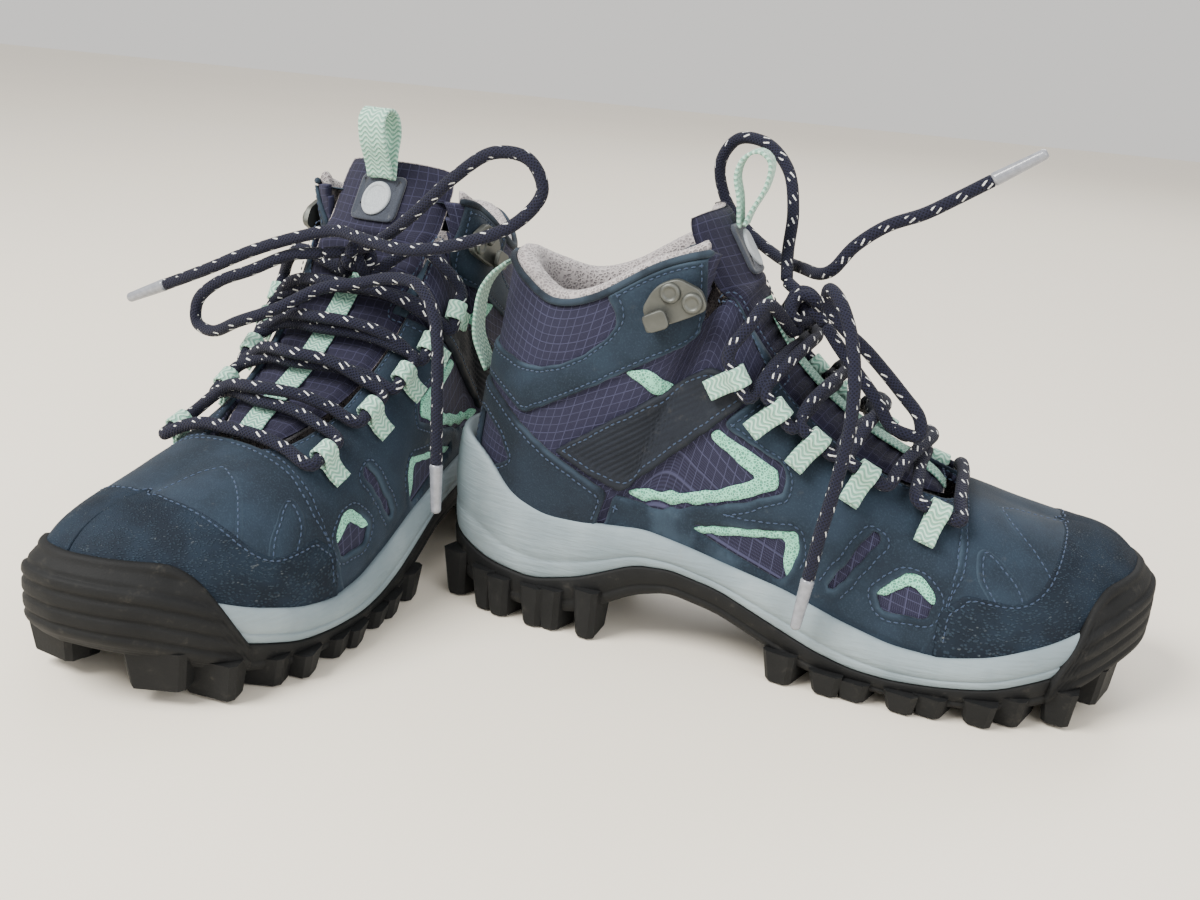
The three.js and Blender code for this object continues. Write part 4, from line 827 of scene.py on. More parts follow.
def panel(boot, name, outline, chart, out, finish, holes=(), spread=3.0, relief=None, seam=True,
          round_edge=1.0, bulge=0.0, corner=2.2):
    """A sewn layer: it follows the skin inside an outline, with a rounded edge and a stitch line."""
    outline = smooth_outline(outline, corner=corner)
    holes = [smooth_outline(h, corner=1.4, step=1.4) for h in holes]
    border = outline.copy()
    border[border[:, 0] < 0.6, 0] -= 30          # the two halves meet there, without an edge
    rings = [outline, *holes]
    low, high = outline.min(0), outline.max(0)
    xs = np.arange(low[0], high[0], spread)
    ys = np.arange(low[1], high[1], spread * 0.87)
    gx, gy = np.meshgrid(xs, ys)
    gx = gx + (np.arange(len(ys)) % 2)[:, None] * spread / 2
    loose = [np.stack([gx.ravel(), gy.ravel()], -1)]
    for level in OUTLINE_ROWS:
        loose += [inset(ring, level if ring is outline else -level) for ring in rings]
    kept = []
    for rank, group in enumerate(loose):
        distance = np.min([edge_distance(group, ring) for ring in rings], axis=0)
        keep = inside(group, outline) & (distance > (INNER_CLEAR if rank == 0 else OUTLINE_CLEAR))
        for hole in holes:
            keep &= ~inside(group, hole)
        kept.append(group[keep])
    points = np.vstack([*rings, *kept])
    edges = []
    start = 0
    for ring in rings:
        edges += [(start + k, start + (k + 1) % len(ring)) for k in range(len(ring))]
        start += len(ring)
    flat, _, faces, *_ = delaunay_2d_cdt([Vector(p) for p in points], edges, [], 1, 1e-4)
    flat = np.array([tuple(p) for p in flat])
    faces = np.array([f for f in faces if len(f) == 3])
    middle = flat[faces].mean(1)
    for hole in holes:
        keep = ~inside(middle, hole)
        faces, middle = faces[keep], middle[keep]
    a, b, c = (flat[faces[:, k]] for k in range(3))
    area = (b[:, 0] - a[:, 0]) * (c[:, 1] - a[:, 1]) - (b[:, 1] - a[:, 1]) * (c[:, 0] - a[:, 0])
    faces = faces[np.abs(area) > SMALLEST_FACE]
    area = area[np.abs(area) > SMALLEST_FACE]
    faces[area < 0] = faces[area < 0][:, ::-1]
    distance = np.min([edge_distance(flat, ring) for ring in (border, *holes)], axis=0)
    s, u = chart(flat)
    share = np.clip(distance / round_edge, 0, 1)
    height = PANEL_BASE + (out - PANEL_BASE) * (0.35 + 0.65 * np.sqrt(1 - (1 - share) ** 2))
    if seam:
        height -= SEAM_DENT * np.exp(-((distance - SEAM_INSET) / SEAM_DENT_WIDE) ** 2)
    height += bulge * np.clip((distance - SEAM_INSET) / 9, 0, 1) ** 0.7
    if relief is not None:
        height += relief(skin(s, u), distance)
    top = on_skin(s, u, height)
    low_side = on_skin(s, u, PANEL_BASE)
    count = len(flat)
    all_faces = [tuple(f) for f in faces] + [tuple(f[::-1] + count) for f in faces]
    all_faces += rim_faces(faces.tolist(), count)
    flip = np.cross(top[faces[:, 1]] - top[faces[:, 0]], top[faces[:, 2]] - top[faces[:, 0]])
    if (flip * skin_normal(s[faces[:, 0]], u[faces[:, 0]])).sum() < 0:
        all_faces = [f[::-1] for f in all_faces]
    mapped = np.vstack([flat, flat])
    edge = np.concatenate([distance, np.zeros(count)])
    piece = make_piece(boot, name, np.vstack([top, low_side]), all_faces, finish, mapped, edge)
    tidy(piece, distance=0.01)
    if seam:
        for ring in rings:
            line = inset(ring, SEAM_INSET if ring is outline else -SEAM_INSET)
            ls, lu = chart(line)
            reach = edge_distance(line, ring)
            hidden = (reach < SEAM_INSET * 0.8) | (np.minimum(lu, 2 - lu) < 0.06) | (ls < 0.012)
            SEAMS[boot.name].append((on_skin(ls, lu, out - 0.12 + bulge * 0.1), ~hidden))
    return piece


# ---------------------------------------------------------------- upper

THROAT = [(209, 3), (200, 19), (185, 24), (166, 26), (146, 27), (130, 28), (117, 29.5), (106, 30), (90, 30),
          (90, -29.5), (106, -29.5), (117, -29), (130, -27), (146, -24), (166, -22), (185, -19), (200, -14),
          (209, -7)]
TOE_EDGE = [(203, 5), (204.5, 43), (213, 50), (230, 47.5), (238, 51), (245, 63), (249, 80)]
VAMP_INSET = [(252, -5), (238, -5), (224, 2), (219, 8), (226, 20), (243, 33), (252, 30)]
VAMP_SIDE_INSET = [(246, 40), (230, 33.5), (217, 31), (213, 34), (216, 40), (232, 43), (243, 44)]
VAMP_EDGE = [(199, 22), (203, 45), (208.5, 58), (206, 76), (206, 100)]
QUARTER = [(64, 20), (73, 63.5), (87, 61), (106, 64.5), (124, 70.5), (141, 78), (140, 88), (114, 101),
           (121, 108), (126, 114), (133, 119)]
QUARTER_FRONT = [(209, 76), (212, 58), (208, 30), (206, 10)]
TRIANGLE = [(106, 57), (148, 63.5), (150, 58), (145.5, 42)]
TOE_WINDOW = [(180, 45), (190.5, 54.5), (196, 54.5), (203, 46), (200, 38), (184, 38)]
SLIT = [(161, 43), (176, 68.5), (180, 66), (164, 42)]
HEEL_COUNTER = [(6, 97), (16, 94.5), (30, 85.5), (45, 77.5), (71, 64), (66, 48), (62, 20)]
HEEL_WINDOW = [(10, 84), (20, 80), (27, 68), (17, 62), (8, 66)]
BAND_TOP = [(9, 113), (18, 111.5), (34, 108.5), (53, 116), (66, 127), (70, 133), (68, 139), (62, 147),
            (60, 160)]
BAND_FRONT = [(84, 175), (102, 175)]
BAND_LOW = [(101, 132), (76, 116), (32, 89.5), (16, 97.5), (8, 98)]
STRAP_LINE = [(47, 78), (107, 122), (113, 121), (121, 113), (122, 110), (76, 65)]
BIG_V = [(78, 66), (87, 62), (106, 66), (124, 72), (139, 79), (138, 86), (112, 99), (110, 94.5), (130, 82),
         (122, 77), (104, 70), (83, 67)]
UPPER_BAR = [(74, 116), (83, 118), (96, 110), (88, 107)]
TRIANGLE_V = [(102, 56), (150, 66), (152, 58), (147, 40), (144.5, 47), (144, 60), (112, 54.5)]
TOE_V = [(178, 45), (190, 56), (196, 56), (206, 45), (202, 43.5), (192.5, 51), (184, 44)]


ACCENTS = (("big_v", BIG_V), ("bar", UPPER_BAR), ("triangle", TRIANGLE_V), ("toe_v", TOE_V))
SHELL_ROWS, SHELL_COLUMNS = 260, 81
THROAT_FLOOR = 64                # the throat's outline cuts only what is above this
BOOT_MIDDLE = (120, 0, 60)


def mirrored(line):
    """The inner side's half of a map outline that is drawn on the outer side of the ridge."""
    return [(a, 2 * MAP_HIGH - b) for a, b in reversed(line)]


def make_shell(boot):
    """The cloth upper in two halves, open at the throat, with its lining inside."""
    rows, columns = SHELL_ROWS, SHELL_COLUMNS
    s = np.linspace(0, 1, rows)
    points, faces, inner, mapped = [], [], [], []
    for low, high in ((0.0, 1.0), (1.0 + APART, 2.0)):
        grid_s, grid_u = np.meshgrid(s, np.linspace(low, high, columns), indexing="ij")
        start = sum(len(p) for p in points)
        points.append(on_skin(grid_s, grid_u, 0).reshape(-1, 3))
        inner.append(on_skin(grid_s, grid_u, -SHELL).reshape(-1, 3))
        mapped.append(np.stack([grid_s * MAP_LONG, grid_u * MAP_HIGH], -1).reshape(-1, 2))
        faces += [tuple(k + start for k in f) for f in grid_faces(rows, columns)]
    points, inner, mapped = np.vstack(points), np.vstack(inner), np.vstack(mapped)
    faces = np.array(faces)
    middle = points[faces].mean(1)
    open_part = inside(middle[:, :2], inset(smooth_outline(THROAT), -0.8)) & (middle[:, 2] > THROAT_FLOOR)
    faces = faces[~open_part]
    count = len(points)
    all_faces = [tuple(f) for f in faces] + [tuple(f[::-1] + count) for f in faces]
    rims = rim_faces(faces.tolist(), count)
    flags = [0] * len(faces) + [1] * len(faces) + [0] * len(rims)
    a, b, c = (points[faces[:, k]] for k in (0, 1, 2))
    all_faces += rims
    if (np.cross(b - a, c - a) * (a - np.array(BOOT_MIDDLE))).sum() < 0:
        all_faces = [f[::-1] for f in all_faces]
    piece = make_piece(boot, "upper_shell", np.vstack([points, inner]), all_faces, "ripstop",
                       np.vstack([mapped, mapped]), second=("lining", flags))
    return settle(boot, tidy(piece), ["upper_shell"])


def throat_edge(side):
    """The throat's outline on one side, from the ankle to the toe."""
    plan = sorted(p for p in THROAT if p[1] * side > 0 and 100 < p[0] < 209)
    return chart_side(side, (0, 1), [(x, y + side * 0.6) for x, y in plan])


STRAP_ACROSS = (0.81, -0.59)     # z and x of the direction across the strap's ribs
STRAP_RIB, STRAP_RIB_DEEP, STRAP_BORDER = 2.1, 0.75, 3.6


def strap_ribs(place, distance):
    across = place[:, 2] * STRAP_ACROSS[0] + place[:, 0] * STRAP_ACROSS[1]
    ridge = 0.5 - 0.5 * np.cos(across * 2 * math.pi / STRAP_RIB)
    return -STRAP_RIB_DEEP * ridge * np.clip((distance - STRAP_BORDER) / 0.8, 0, 1)


def make_panels(boot):
    edge = chart_side(1, (0, 2), TOE_EDGE)
    toe = edge + mirrored(edge) + [(0.0, 2 * MAP_HIGH), (0.0, 0.0)]
    toe = panel(boot, "toe_cap", toe, over, 2.5, "toe", spread=2.4, round_edge=1.3)
    settle(boot, toe, ["toe_cap"])
    edge = chart_side(1, (0, 2), VAMP_EDGE)
    front = 0.03 * MAP_LONG
    vamp = edge + mirrored(edge) + [(front, 2 * MAP_HIGH), (front, 0.0)]
    vamp = panel(boot, "vamp", vamp, over, 1.7, "nubuck", bulge=0.4)
    settle(boot, vamp, ["vamp"])
    for name, outline in (("middle", VAMP_INSET), ("side", VAMP_SIDE_INSET)):
        outline = chart_side(1, (0, 1), outline, True)
        piece = panel(boot, f"vamp_inset_{name}", outline, over, 2.15, "nubuck", spread=2.4, bulge=0.2)
        settle(boot, piece, [])
    for side, word in SIDES:
        def drawn(points, closed=False):
            return chart_side(side, (0, 2), points, closed)
        quarter = drawn(QUARTER) + throat_edge(side) + drawn(QUARTER_FRONT)
        piece = panel(boot, f"quarter_{word}", quarter, over, 1.6, "nubuck",
                      holes=[drawn(TRIANGLE, True), drawn(TOE_WINDOW, True), drawn(SLIT, True)], bulge=0.25)
        settle(boot, piece, [f"quarter_{word}"])
        strap = panel(boot, f"strap_{word}", drawn(STRAP_LINE, True), over, 2.6, "strap", spread=1.0,
                      relief=strap_ribs, round_edge=1.4)
        settle(boot, strap, [f"strap_{word}"])
        for name, outline in ACCENTS:
            accent = panel(boot, f"accent_{name}_{word}", drawn(outline, True), over, 1.0, "accent",
                           seam=False, round_edge=0.7, spread=2.2, corner=0.9)
            settle(boot, accent, [])

    def heel(side, points):
        return chart_heel(side, (0, 2), points)
    outline = heel(1, HEEL_COUNTER) + heel(-1, HEEL_COUNTER)[::-1]
    windows = [chart_heel(side, (0, 2), HEEL_WINDOW, True) for side in (1, -1)]
    settle(boot, panel(boot, "heel_counter", outline, round_heel, 2.2, "nubuck_dark", holes=windows),
           ["heel_counter"])
    half = BAND_TOP + BAND_FRONT + BAND_LOW
    outline = heel(1, half) + heel(-1, half)[::-1]
    settle(boot, panel(boot, "ankle_band", outline, round_heel, 1.6, "nubuck", bulge=0.5),
           ["ankle_band"])


# ---------------------------------------------------------------- sole

MIDSOLE_TOP = [(-10, 76), (5, 73), (16, 68), (29, 55), (46, 50), (65, 50), (87, 51.5), (105, 48), (122, 44),
               (146, 39), (169, 31), (188, 26), (207, 24.5), (227, 28), (247, 34), (263, 41), (276, 48),
               (300, 54)]
MIDSOLE_FOOT = [(-10, 30), (5, 27), (21, 23), (42, 21), (62, 26), (85, 36), (100, 37), (120, 33), (140, 25),
                (160, 17), (175, 13), (190, 12), (208, 13), (229, 15), (249, 20.5), (264, 27), (276, 33),
                (300, 38)]
TREAD_TOP = [(-10, 12), (9, 8.5), (42, 6.5), (62, 9), (85, 22), (100, 26), (120, 22), (140, 14), (150, 9.5),
             (160, 6.5), (190, 4.5), (229, 5), (249, 8.5), (264, 14.5), (276, 20), (300, 26)]
BUMPER_TOP = [(247, 15), (252, 24), (258, 38), (264, 48), (271, 54), (300, 58)]


# Up the sole's sides: share of the height, and how far out from the flare.
MIDSOLE_SIDE = [(0.0, -0.6), (0.03, 0.2), (0.10, 0.7), (0.2, 0.95), (0.26, 0.9), (0.29, 0.35), (0.32, 0.9),
                (0.45, 1.3), (0.58, 1.25), (0.7, 1.0), (0.8, 0.55), (0.88, 0.1), (0.94, -0.4), (0.98, -1.0),
                (1.0, -1.8)]
TREAD_SIDE = [(0.0, -2.6), (0.05, -1.2), (0.2, -0.2), (0.34, 0.1), (0.4, -0.5), (0.46, 0.2), (0.7, 0.6),
              (0.92, 0.9), (1.0, 0.6), (1.0, -0.7, -0.1)]


def height_on(profile, x):
    """A smooth height along the boot: straight stretches with their corners eased."""
    xs, zs = zip(*profile)
    return sum(np.interp(x + dx, xs, zs) for dx in (-4, -2, 0, 2, 4)) / 5


def ring_stations(count=170):
    """Stations once round the boot: toe, outer side, heel, inner side."""
    s = np.linspace(0, 1, count)
    return np.concatenate([s, s[::-1][1:-1]]), np.concatenate([np.zeros(count), np.full(count - 2, 2.0)])


def foot_ring(out):
    """The foot line once round, moved outwards in plan."""
    s, u = ring_stations()
    line = skin(s, u)
    side = skin_normal(s, np.where(u > 1, 1.98, 0.02)).copy()
    side[:, 2] = 0
    side = unit(side)
    ends = np.isin(s, (0.0, 1.0))
    side[ends] = np.where(s[ends, None] == 0, [[1.0, 0, 0]], [[-1.0, 0, 0]])
    for _ in range(4):
        side = unit(side + np.roll(side, 1, axis=0) + np.roll(side, -1, axis=0))
    return line + side * np.asarray(out, float)[..., None]


def ring_faces(rows, count):
    """Faces of rings round the boot, with the first and the last closed by strips from side to side."""
    faces = grid_faces(rows, count, wrap=True)
    for base in (0, (rows - 1) * count):
        for i in range(count // 2):
            strip = dict.fromkeys(base + k % count for k in (i, i + 1, count - i - 1, count - i))
            if len(strip) > 2:
                faces.append(tuple(strip))
    return faces


def wall(boot, name, levels, finish):
    """Rings round the boot, one for each level (out, height function of x), closed at top and bottom."""
    rings = []
    for out, height in levels:
        ring = foot_ring(out)
        ring[:, 2] = height(ring[:, 0])
        rings.append(ring)
    around = distances(rings[0])
    mapped = [np.stack([around, ring[:, 2]], -1) for ring in rings]
    faces = ring_faces(len(rings), len(rings[0]))
    piece = make_piece(boot, name, np.vstack(rings), faces, finish, np.vstack(mapped))
    return tidy(piece, outward=True, distance=0.01)


def between(low, high, share, lift=0.0):
    """A height function that runs between two profiles."""
    return lambda x: height_on(low, x) * (1 - share) + height_on(high, x) * share + lift


def make_midsole(boot):
    def step(share, out):
        return SOLE_FLARE + out, between(MIDSOLE_FOOT, MIDSOLE_TOP, share)
    levels = [(-6, between(MIDSOLE_FOOT, MIDSOLE_TOP, 0, -0.4)), *(step(*at) for at in MIDSOLE_SIDE),
              (0.6, between(MIDSOLE_FOOT, MIDSOLE_TOP, 1.0, -0.3)),
              (-6, between(MIDSOLE_FOOT, MIDSOLE_TOP, 0.5))]
    piece = wall(boot, "midsole", levels, "foam")
    return settle(boot, piece, ["midsole"])


# Rows of tread blocks: first and last x, how many, and each one's size across and along.
HEEL_LUGS = (7, 66, 6, 18, 8.6)
BALL_LUGS = (152, 268, 9, 20, 10.6)
MIDDLE_LUGS = (168, 250, 6, 17, 8.5)
HEEL_PAD = (22, 46, 3, 15, 5.4)
LUG_TURN, LUG_SLOPE = 0.24, 2.2
LUG_CUT = 2.0                    # broken corners
LUG_SPRING, LUG_SPRING_FROM = 0.010, 244


def foot_line(x):
    """The height of a block's foot, which leaves the ground towards the toe."""
    return LUG_SPRING * max(x - LUG_SPRING_FROM, 0) ** 2


def lug_block(x, y, across, along, turn, foot, top, slope):
    """One tread block: a flat foot, drafted sides and broken edges."""
    rings = []
    cut = LUG_CUT
    for grow, z in ((-1.2, foot), (-0.25, foot + 0.35), (0, foot + 1.2), (1.9, top)):
        half_w, half_l = across / 2 + grow, along / 2 + grow * 0.8
        corner = [(-half_l + cut, -half_w), (half_l - cut, -half_w), (half_l, -half_w + cut),
                  (half_l + slope, half_w - cut), (half_l + slope - cut, half_w),
                  (-half_l + slope + cut, half_w), (-half_l + slope, half_w - cut), (-half_l, -half_w + cut)]
        c, n = math.cos(turn), math.sin(turn)
        rings.append([(x + u * c - v * n, y + u * n + v * c, z) for u, v in corner])
    faces = grid_faces(4, 8, wrap=True) + [f[::-1] for f in end_faces(4, 8)]
    return [p for ring in rings for p in ring], faces


def make_outsole(boot):
    def side(share, out, lift=0.0):
        return SOLE_FLARE + out, between(TREAD_TOP, MIDSOLE_FOOT, share, lift)
    levels = [(-4, between(TREAD_TOP, MIDSOLE_FOOT, 0, 0.6)), *(side(*at) for at in TREAD_SIDE),
              (-4, between(TREAD_TOP, MIDSOLE_FOOT, 0.9))]
    piece = wall(boot, "outsole", levels, "rubber")
    settle(boot, piece, ["outsole"])
    line = foot_ring(SOLE_FLARE)
    half = len(line) // 2 + 1
    edges = {1: line[:half], -1: np.vstack([line[0], line[half - 1:][::-1]])}
    points, faces = [], []

    def put(x, y, across, along, turn, slope=0.0):
        reach = along / 2 + 3
        top = min(height_on(MIDSOLE_FOOT, x - reach), height_on(MIDSOLE_FOOT, x + reach)) - 3.2
        corners, quads = lug_block(x, y, across, along, turn, foot_line(x), top, slope)
        start = len(points)
        points.extend(corners)
        faces.extend(tuple(k + start for k in f) for f in quads)
    for direction in (1, -1):
        outline = edges[direction]
        order = np.argsort(outline[:, 0])
        for first, last, count, across, along in (HEEL_LUGS, BALL_LUGS):
            for k in range(count):
                x = first + (last - first) * k / (count - 1)
                edge_y = np.interp(x, outline[order, 0], outline[order, 1])
                put(x, edge_y - direction * (across / 2 - 2), across, along, direction * LUG_TURN,
                    LUG_SLOPE * (1 if k % 2 else -1))
    for row, y, turn, slope in ((MIDDLE_LUGS, 1, 0.5, 2.5), (HEEL_PAD, 0, 0.2, 2)):
        first, last, count, across, along = row
        for k in range(count):
            put(first + (last - first) * k / (count - 1), y, across, along, turn, slope)
    lugs = tidy(make_piece(boot, "lugs", points, faces, "rubber", smooth=False), outward=True, distance=0.001)
    settle(boot, lugs, [])


BUMPER_STATIONS = 31
BUMPER_ROWS = 44
BUMPER_OUT = 3.0
BUMPER_WALL = 2.8
BUMPER_CLIMB = 4.7               # out from the skin over the toe cap
BUMPER_EDGE, BUMPER_EDGE_DEEP = 2.2, 1.8
CLIMB_ROWS = 90
GROOVE_EVERY = 6.4
GROOVE_DEEP = 1.1


def make_bumper(boot):
    """Rubber that comes up from the tread, over the midsole's front and on to the toe cap."""
    near = np.arange(-BUMPER_STATIONS, BUMPER_STATIONS + 1)
    s = ring_stations()[0][near]
    sides = np.where(near < 0, -1, 1)
    lines = {out: foot_ring(SOLE_FLARE + out)[near]
             for out in (-1.5, 0.9, BUMPER_OUT, BUMPER_OUT + 0.2, BUMPER_OUT - 0.1)}
    foot = lines[BUMPER_OUT]
    tread, rim = height_on(TREAD_TOP, foot[:, 0]), height_on(MIDSOLE_TOP, foot[:, 0])
    levels = [(-1.5, tread + 0.3), (0.9, tread + 1.6), (BUMPER_OUT, tread + 5),
              (BUMPER_OUT + 0.2, (tread + rim) / 2), (BUMPER_OUT - 0.1, rim - 3)]
    outer, run = [], []
    for i in range(len(near)):
        profile = [np.array([*lines[out][i, :2], z[i]]) for out, z in levels]
        v = np.linspace(0.02, 0.98, CLIMB_ROWS)
        climb = on_skin(s[i], v if sides[i] > 0 else 2 - v, BUMPER_CLIMB)
        profile = np.vstack([profile, climb[climb[:, 2] > rim[i] + 1.5]])
        top = max(np.interp(foot[i, 0], *zip(*BUMPER_TOP)), tread[i] + 3.5)
        reach = np.interp(top, np.maximum.accumulate(profile[:, 2]), distances(profile))
        wanted = np.linspace(0, reach, BUMPER_ROWS)
        outer.append(along_line(profile, wanted))
        run.append(wanted)
    outer, run = np.array(outer), np.array(run)
    for _ in range(4):
        outer[1:-1] = (outer[:-2] + 2 * outer[1:-1] + outer[2:]) / 4
        outer[:, 1:-1] = (outer[:, :-2] + 2 * outer[:, 1:-1] + outer[:, 2:]) / 4
    out = unit(np.cross(np.gradient(outer, axis=0), np.gradient(outer, axis=1)))
    if (out[len(near) // 2, :, 0]).mean() < 0:
        out = -out
    from_top = run[:, -1:] - run
    rows = 0.5 - 0.5 * np.cos(run * 2 * math.pi / GROOVE_EVERY)
    fade = np.clip((from_top - 3) / 2, 0, 1) * np.clip((run - 3) / 2, 0, 1)
    dent = GROOVE_DEEP * rows ** 5 * fade
    dent += BUMPER_EDGE_DEEP * (1 - np.sqrt(1 - np.clip(1 - from_top / BUMPER_EDGE, 0, 1) ** 2))
    face = outer - out * dent[..., None]
    back = outer - out * BUMPER_WALL
    rings = np.concatenate([face, back[:, ::-1]], axis=1)
    around = rings.shape[1]
    faces = grid_faces(len(rings), around, wrap=True) + end_faces(len(rings), around)
    piece = tidy(make_piece(boot, "toe_bumper", rings.reshape(-1, 3), faces, "rubber"), outward=True)
    settle(boot, piece, [])


def make_bed(boot):
    """Lasting board and insole: flat layers inside the shell."""
    for name, out, low, high, finish, slot in (("lasting_board", -3.4, 0.2, 2.2, "board", "board"),
                                               ("insole", -3.6, 2.5, 6.3, "insole", "insole_cloth")):
        foot = rib_at(ring_stations()[0])[:, 1]
        rings = []
        for shrink, z in ((1.0, low), (0.0, low + 0.3), (0.0, high - 0.8), (0.9, high)):
            ring = foot_ring(out - shrink)
            ring[:, 2] = foot + z
            rings.append(ring)
        faces = ring_faces(len(rings), len(foot))
        piece = make_piece(boot, name, np.vstack(rings), faces, finish)
        settle(boot, tidy(piece, outward=True, distance=0.01), [name])


# ---------------------------------------------------------------- collar

COLLAR_START = 11 / LAST_RIB
COLLAR_STATIONS, COLLAR_AROUND = 96, 30
COLLAR_THIN, COLLAR_PUFF = 3.6, 5.2
COLLAR_EASE = 2.2                # ribs over which it swells
TONGUE_CLEAR = 0.7


def smooth_loop(points, count):
    """A closed section with smooth turns."""
    route = np.array([*points, points[0]], float)
    loop = along_line(route, np.linspace(0, distances(route)[-1], count, endpoint=False))
    for _ in range(2):
        loop = (np.roll(loop, 1, axis=0) + 2 * loop + np.roll(loop, -1, axis=0)) / 4
    return loop


def make_collar(boot):
    around = COLLAR_AROUND
    stations = np.linspace(COLLAR_START, 1, COLLAR_STATIONS)
    path = [(s, 1) for s in stations] + [(s, -1) for s in stations[::-1][1:]]
    rings = []
    for s, side in path:
        full = np.clip((s * LAST_RIB - 11) / COLLAR_EASE, 0, 1)
        pad = COLLAR_THIN + COLLAR_PUFF * full * full * (3 - 2 * full)

        def at(v, out, lift, s=s, side=side):
            return over_skin(s, v, side, out) + np.array([0, 0, lift])
        section = [at(0.66, -3.5, 0), at(0.83, -3.4, 0), at(0.97, -3.3, 0), at(1, -1.4, 1.0),
                   at(1, -0.1, 1.2), at(1, 0.5, 2.6), at(1, -0.2, 4.6), at(1, -2.0, 6.2), at(1, -4.6, 6.9),
                   at(1, -SHELL - pad + 2.2, 5.6), at(1, -SHELL - pad, 2.4), at(0.96, -SHELL - pad - 0.6, 0),
                   at(0.86, -SHELL - pad - 0.3, 0), at(0.74, -SHELL - pad * 0.7, 0), at(0.66, -5.0, 0)]
        ring = smooth_loop(section, around)
        if s == 1:
            ring[:, 1] = 0
        rings.append(ring)
    for _ in range(3):
        middle = [(a + 2 * b + c) / 4 for a, b, c in zip(rings, rings[1:], rings[2:])]
        rings = [rings[0], *middle, rings[-1]]
    half = TONGUE_WIDTH / 2 + TONGUE_CLEAR
    for ring in rings:
        near = (ring[:, 0] > 82) & (np.abs(ring[:, 1]) < half)
        ring[near, 1] = np.sign(ring[near, 1]) * half
    count = len(rings)
    faces = grid_faces(count, around, wrap=True) + end_faces(count, around)
    long = np.arange(count) * 1.6
    mapped = np.stack(np.broadcast_arrays(long[:, None], np.arange(around)[None] * 1.5), -1).reshape(-1, 2)
    piece = make_piece(boot, "collar", np.vstack(rings), faces, "lining", mapped)
    tidy(piece, outward=True)
    settle(boot, piece, ["collar"])
    binding = [over_skin(s, 1, side, 0.3) + np.array([0, 0, 1.6]) for s, side in path]
    piece = tube(boot, "collar_binding", smooth_route(binding, 1.6), 1.5, "nubuck_dark", sides=8)
    settle(boot, piece, [])


# ---------------------------------------------------------------- tongue

TONGUE_TOP = 178.0
TONGUE_FRONT, TONGUE_LEAN = 118.5, 0.62
TONGUE_BEND = 12.5               # how far its sides stand back
TONGUE_RIB = 6.4
LABEL_HEIGHT, LABEL_TALL, LABEL_WIDE = 162.5, 18, 22
TONGUE_EDGE_X = [(104, 28), (130, 28.5), (146, 27), (166, 25), (184, 21), (196, 15), (204, 8)]


def tongue_front(z):
    return TONGUE_FRONT - TONGUE_LEAN * (z - FOLD_HEIGHT)


def tongue_bend(y):
    return TONGUE_BEND * (y / (TONGUE_WIDTH / 2)) ** 2


def rib_across(s, y_shares, half, out):
    """Points on the rib at s whose y runs over shares of a half width."""
    v = np.linspace(0.35, 1, 160)
    rows = []
    for share in y_shares:
        side = 1 if share >= 0 else -1
        line = skin(s, up_side(side, v))
        order = np.argsort(line[:, 1] * side)
        at = np.interp(share * half * side, (line[:, 1] * side)[order], v[order])
        rows.append(up_side(side, at))
    return on_skin(s, np.array(rows), out)


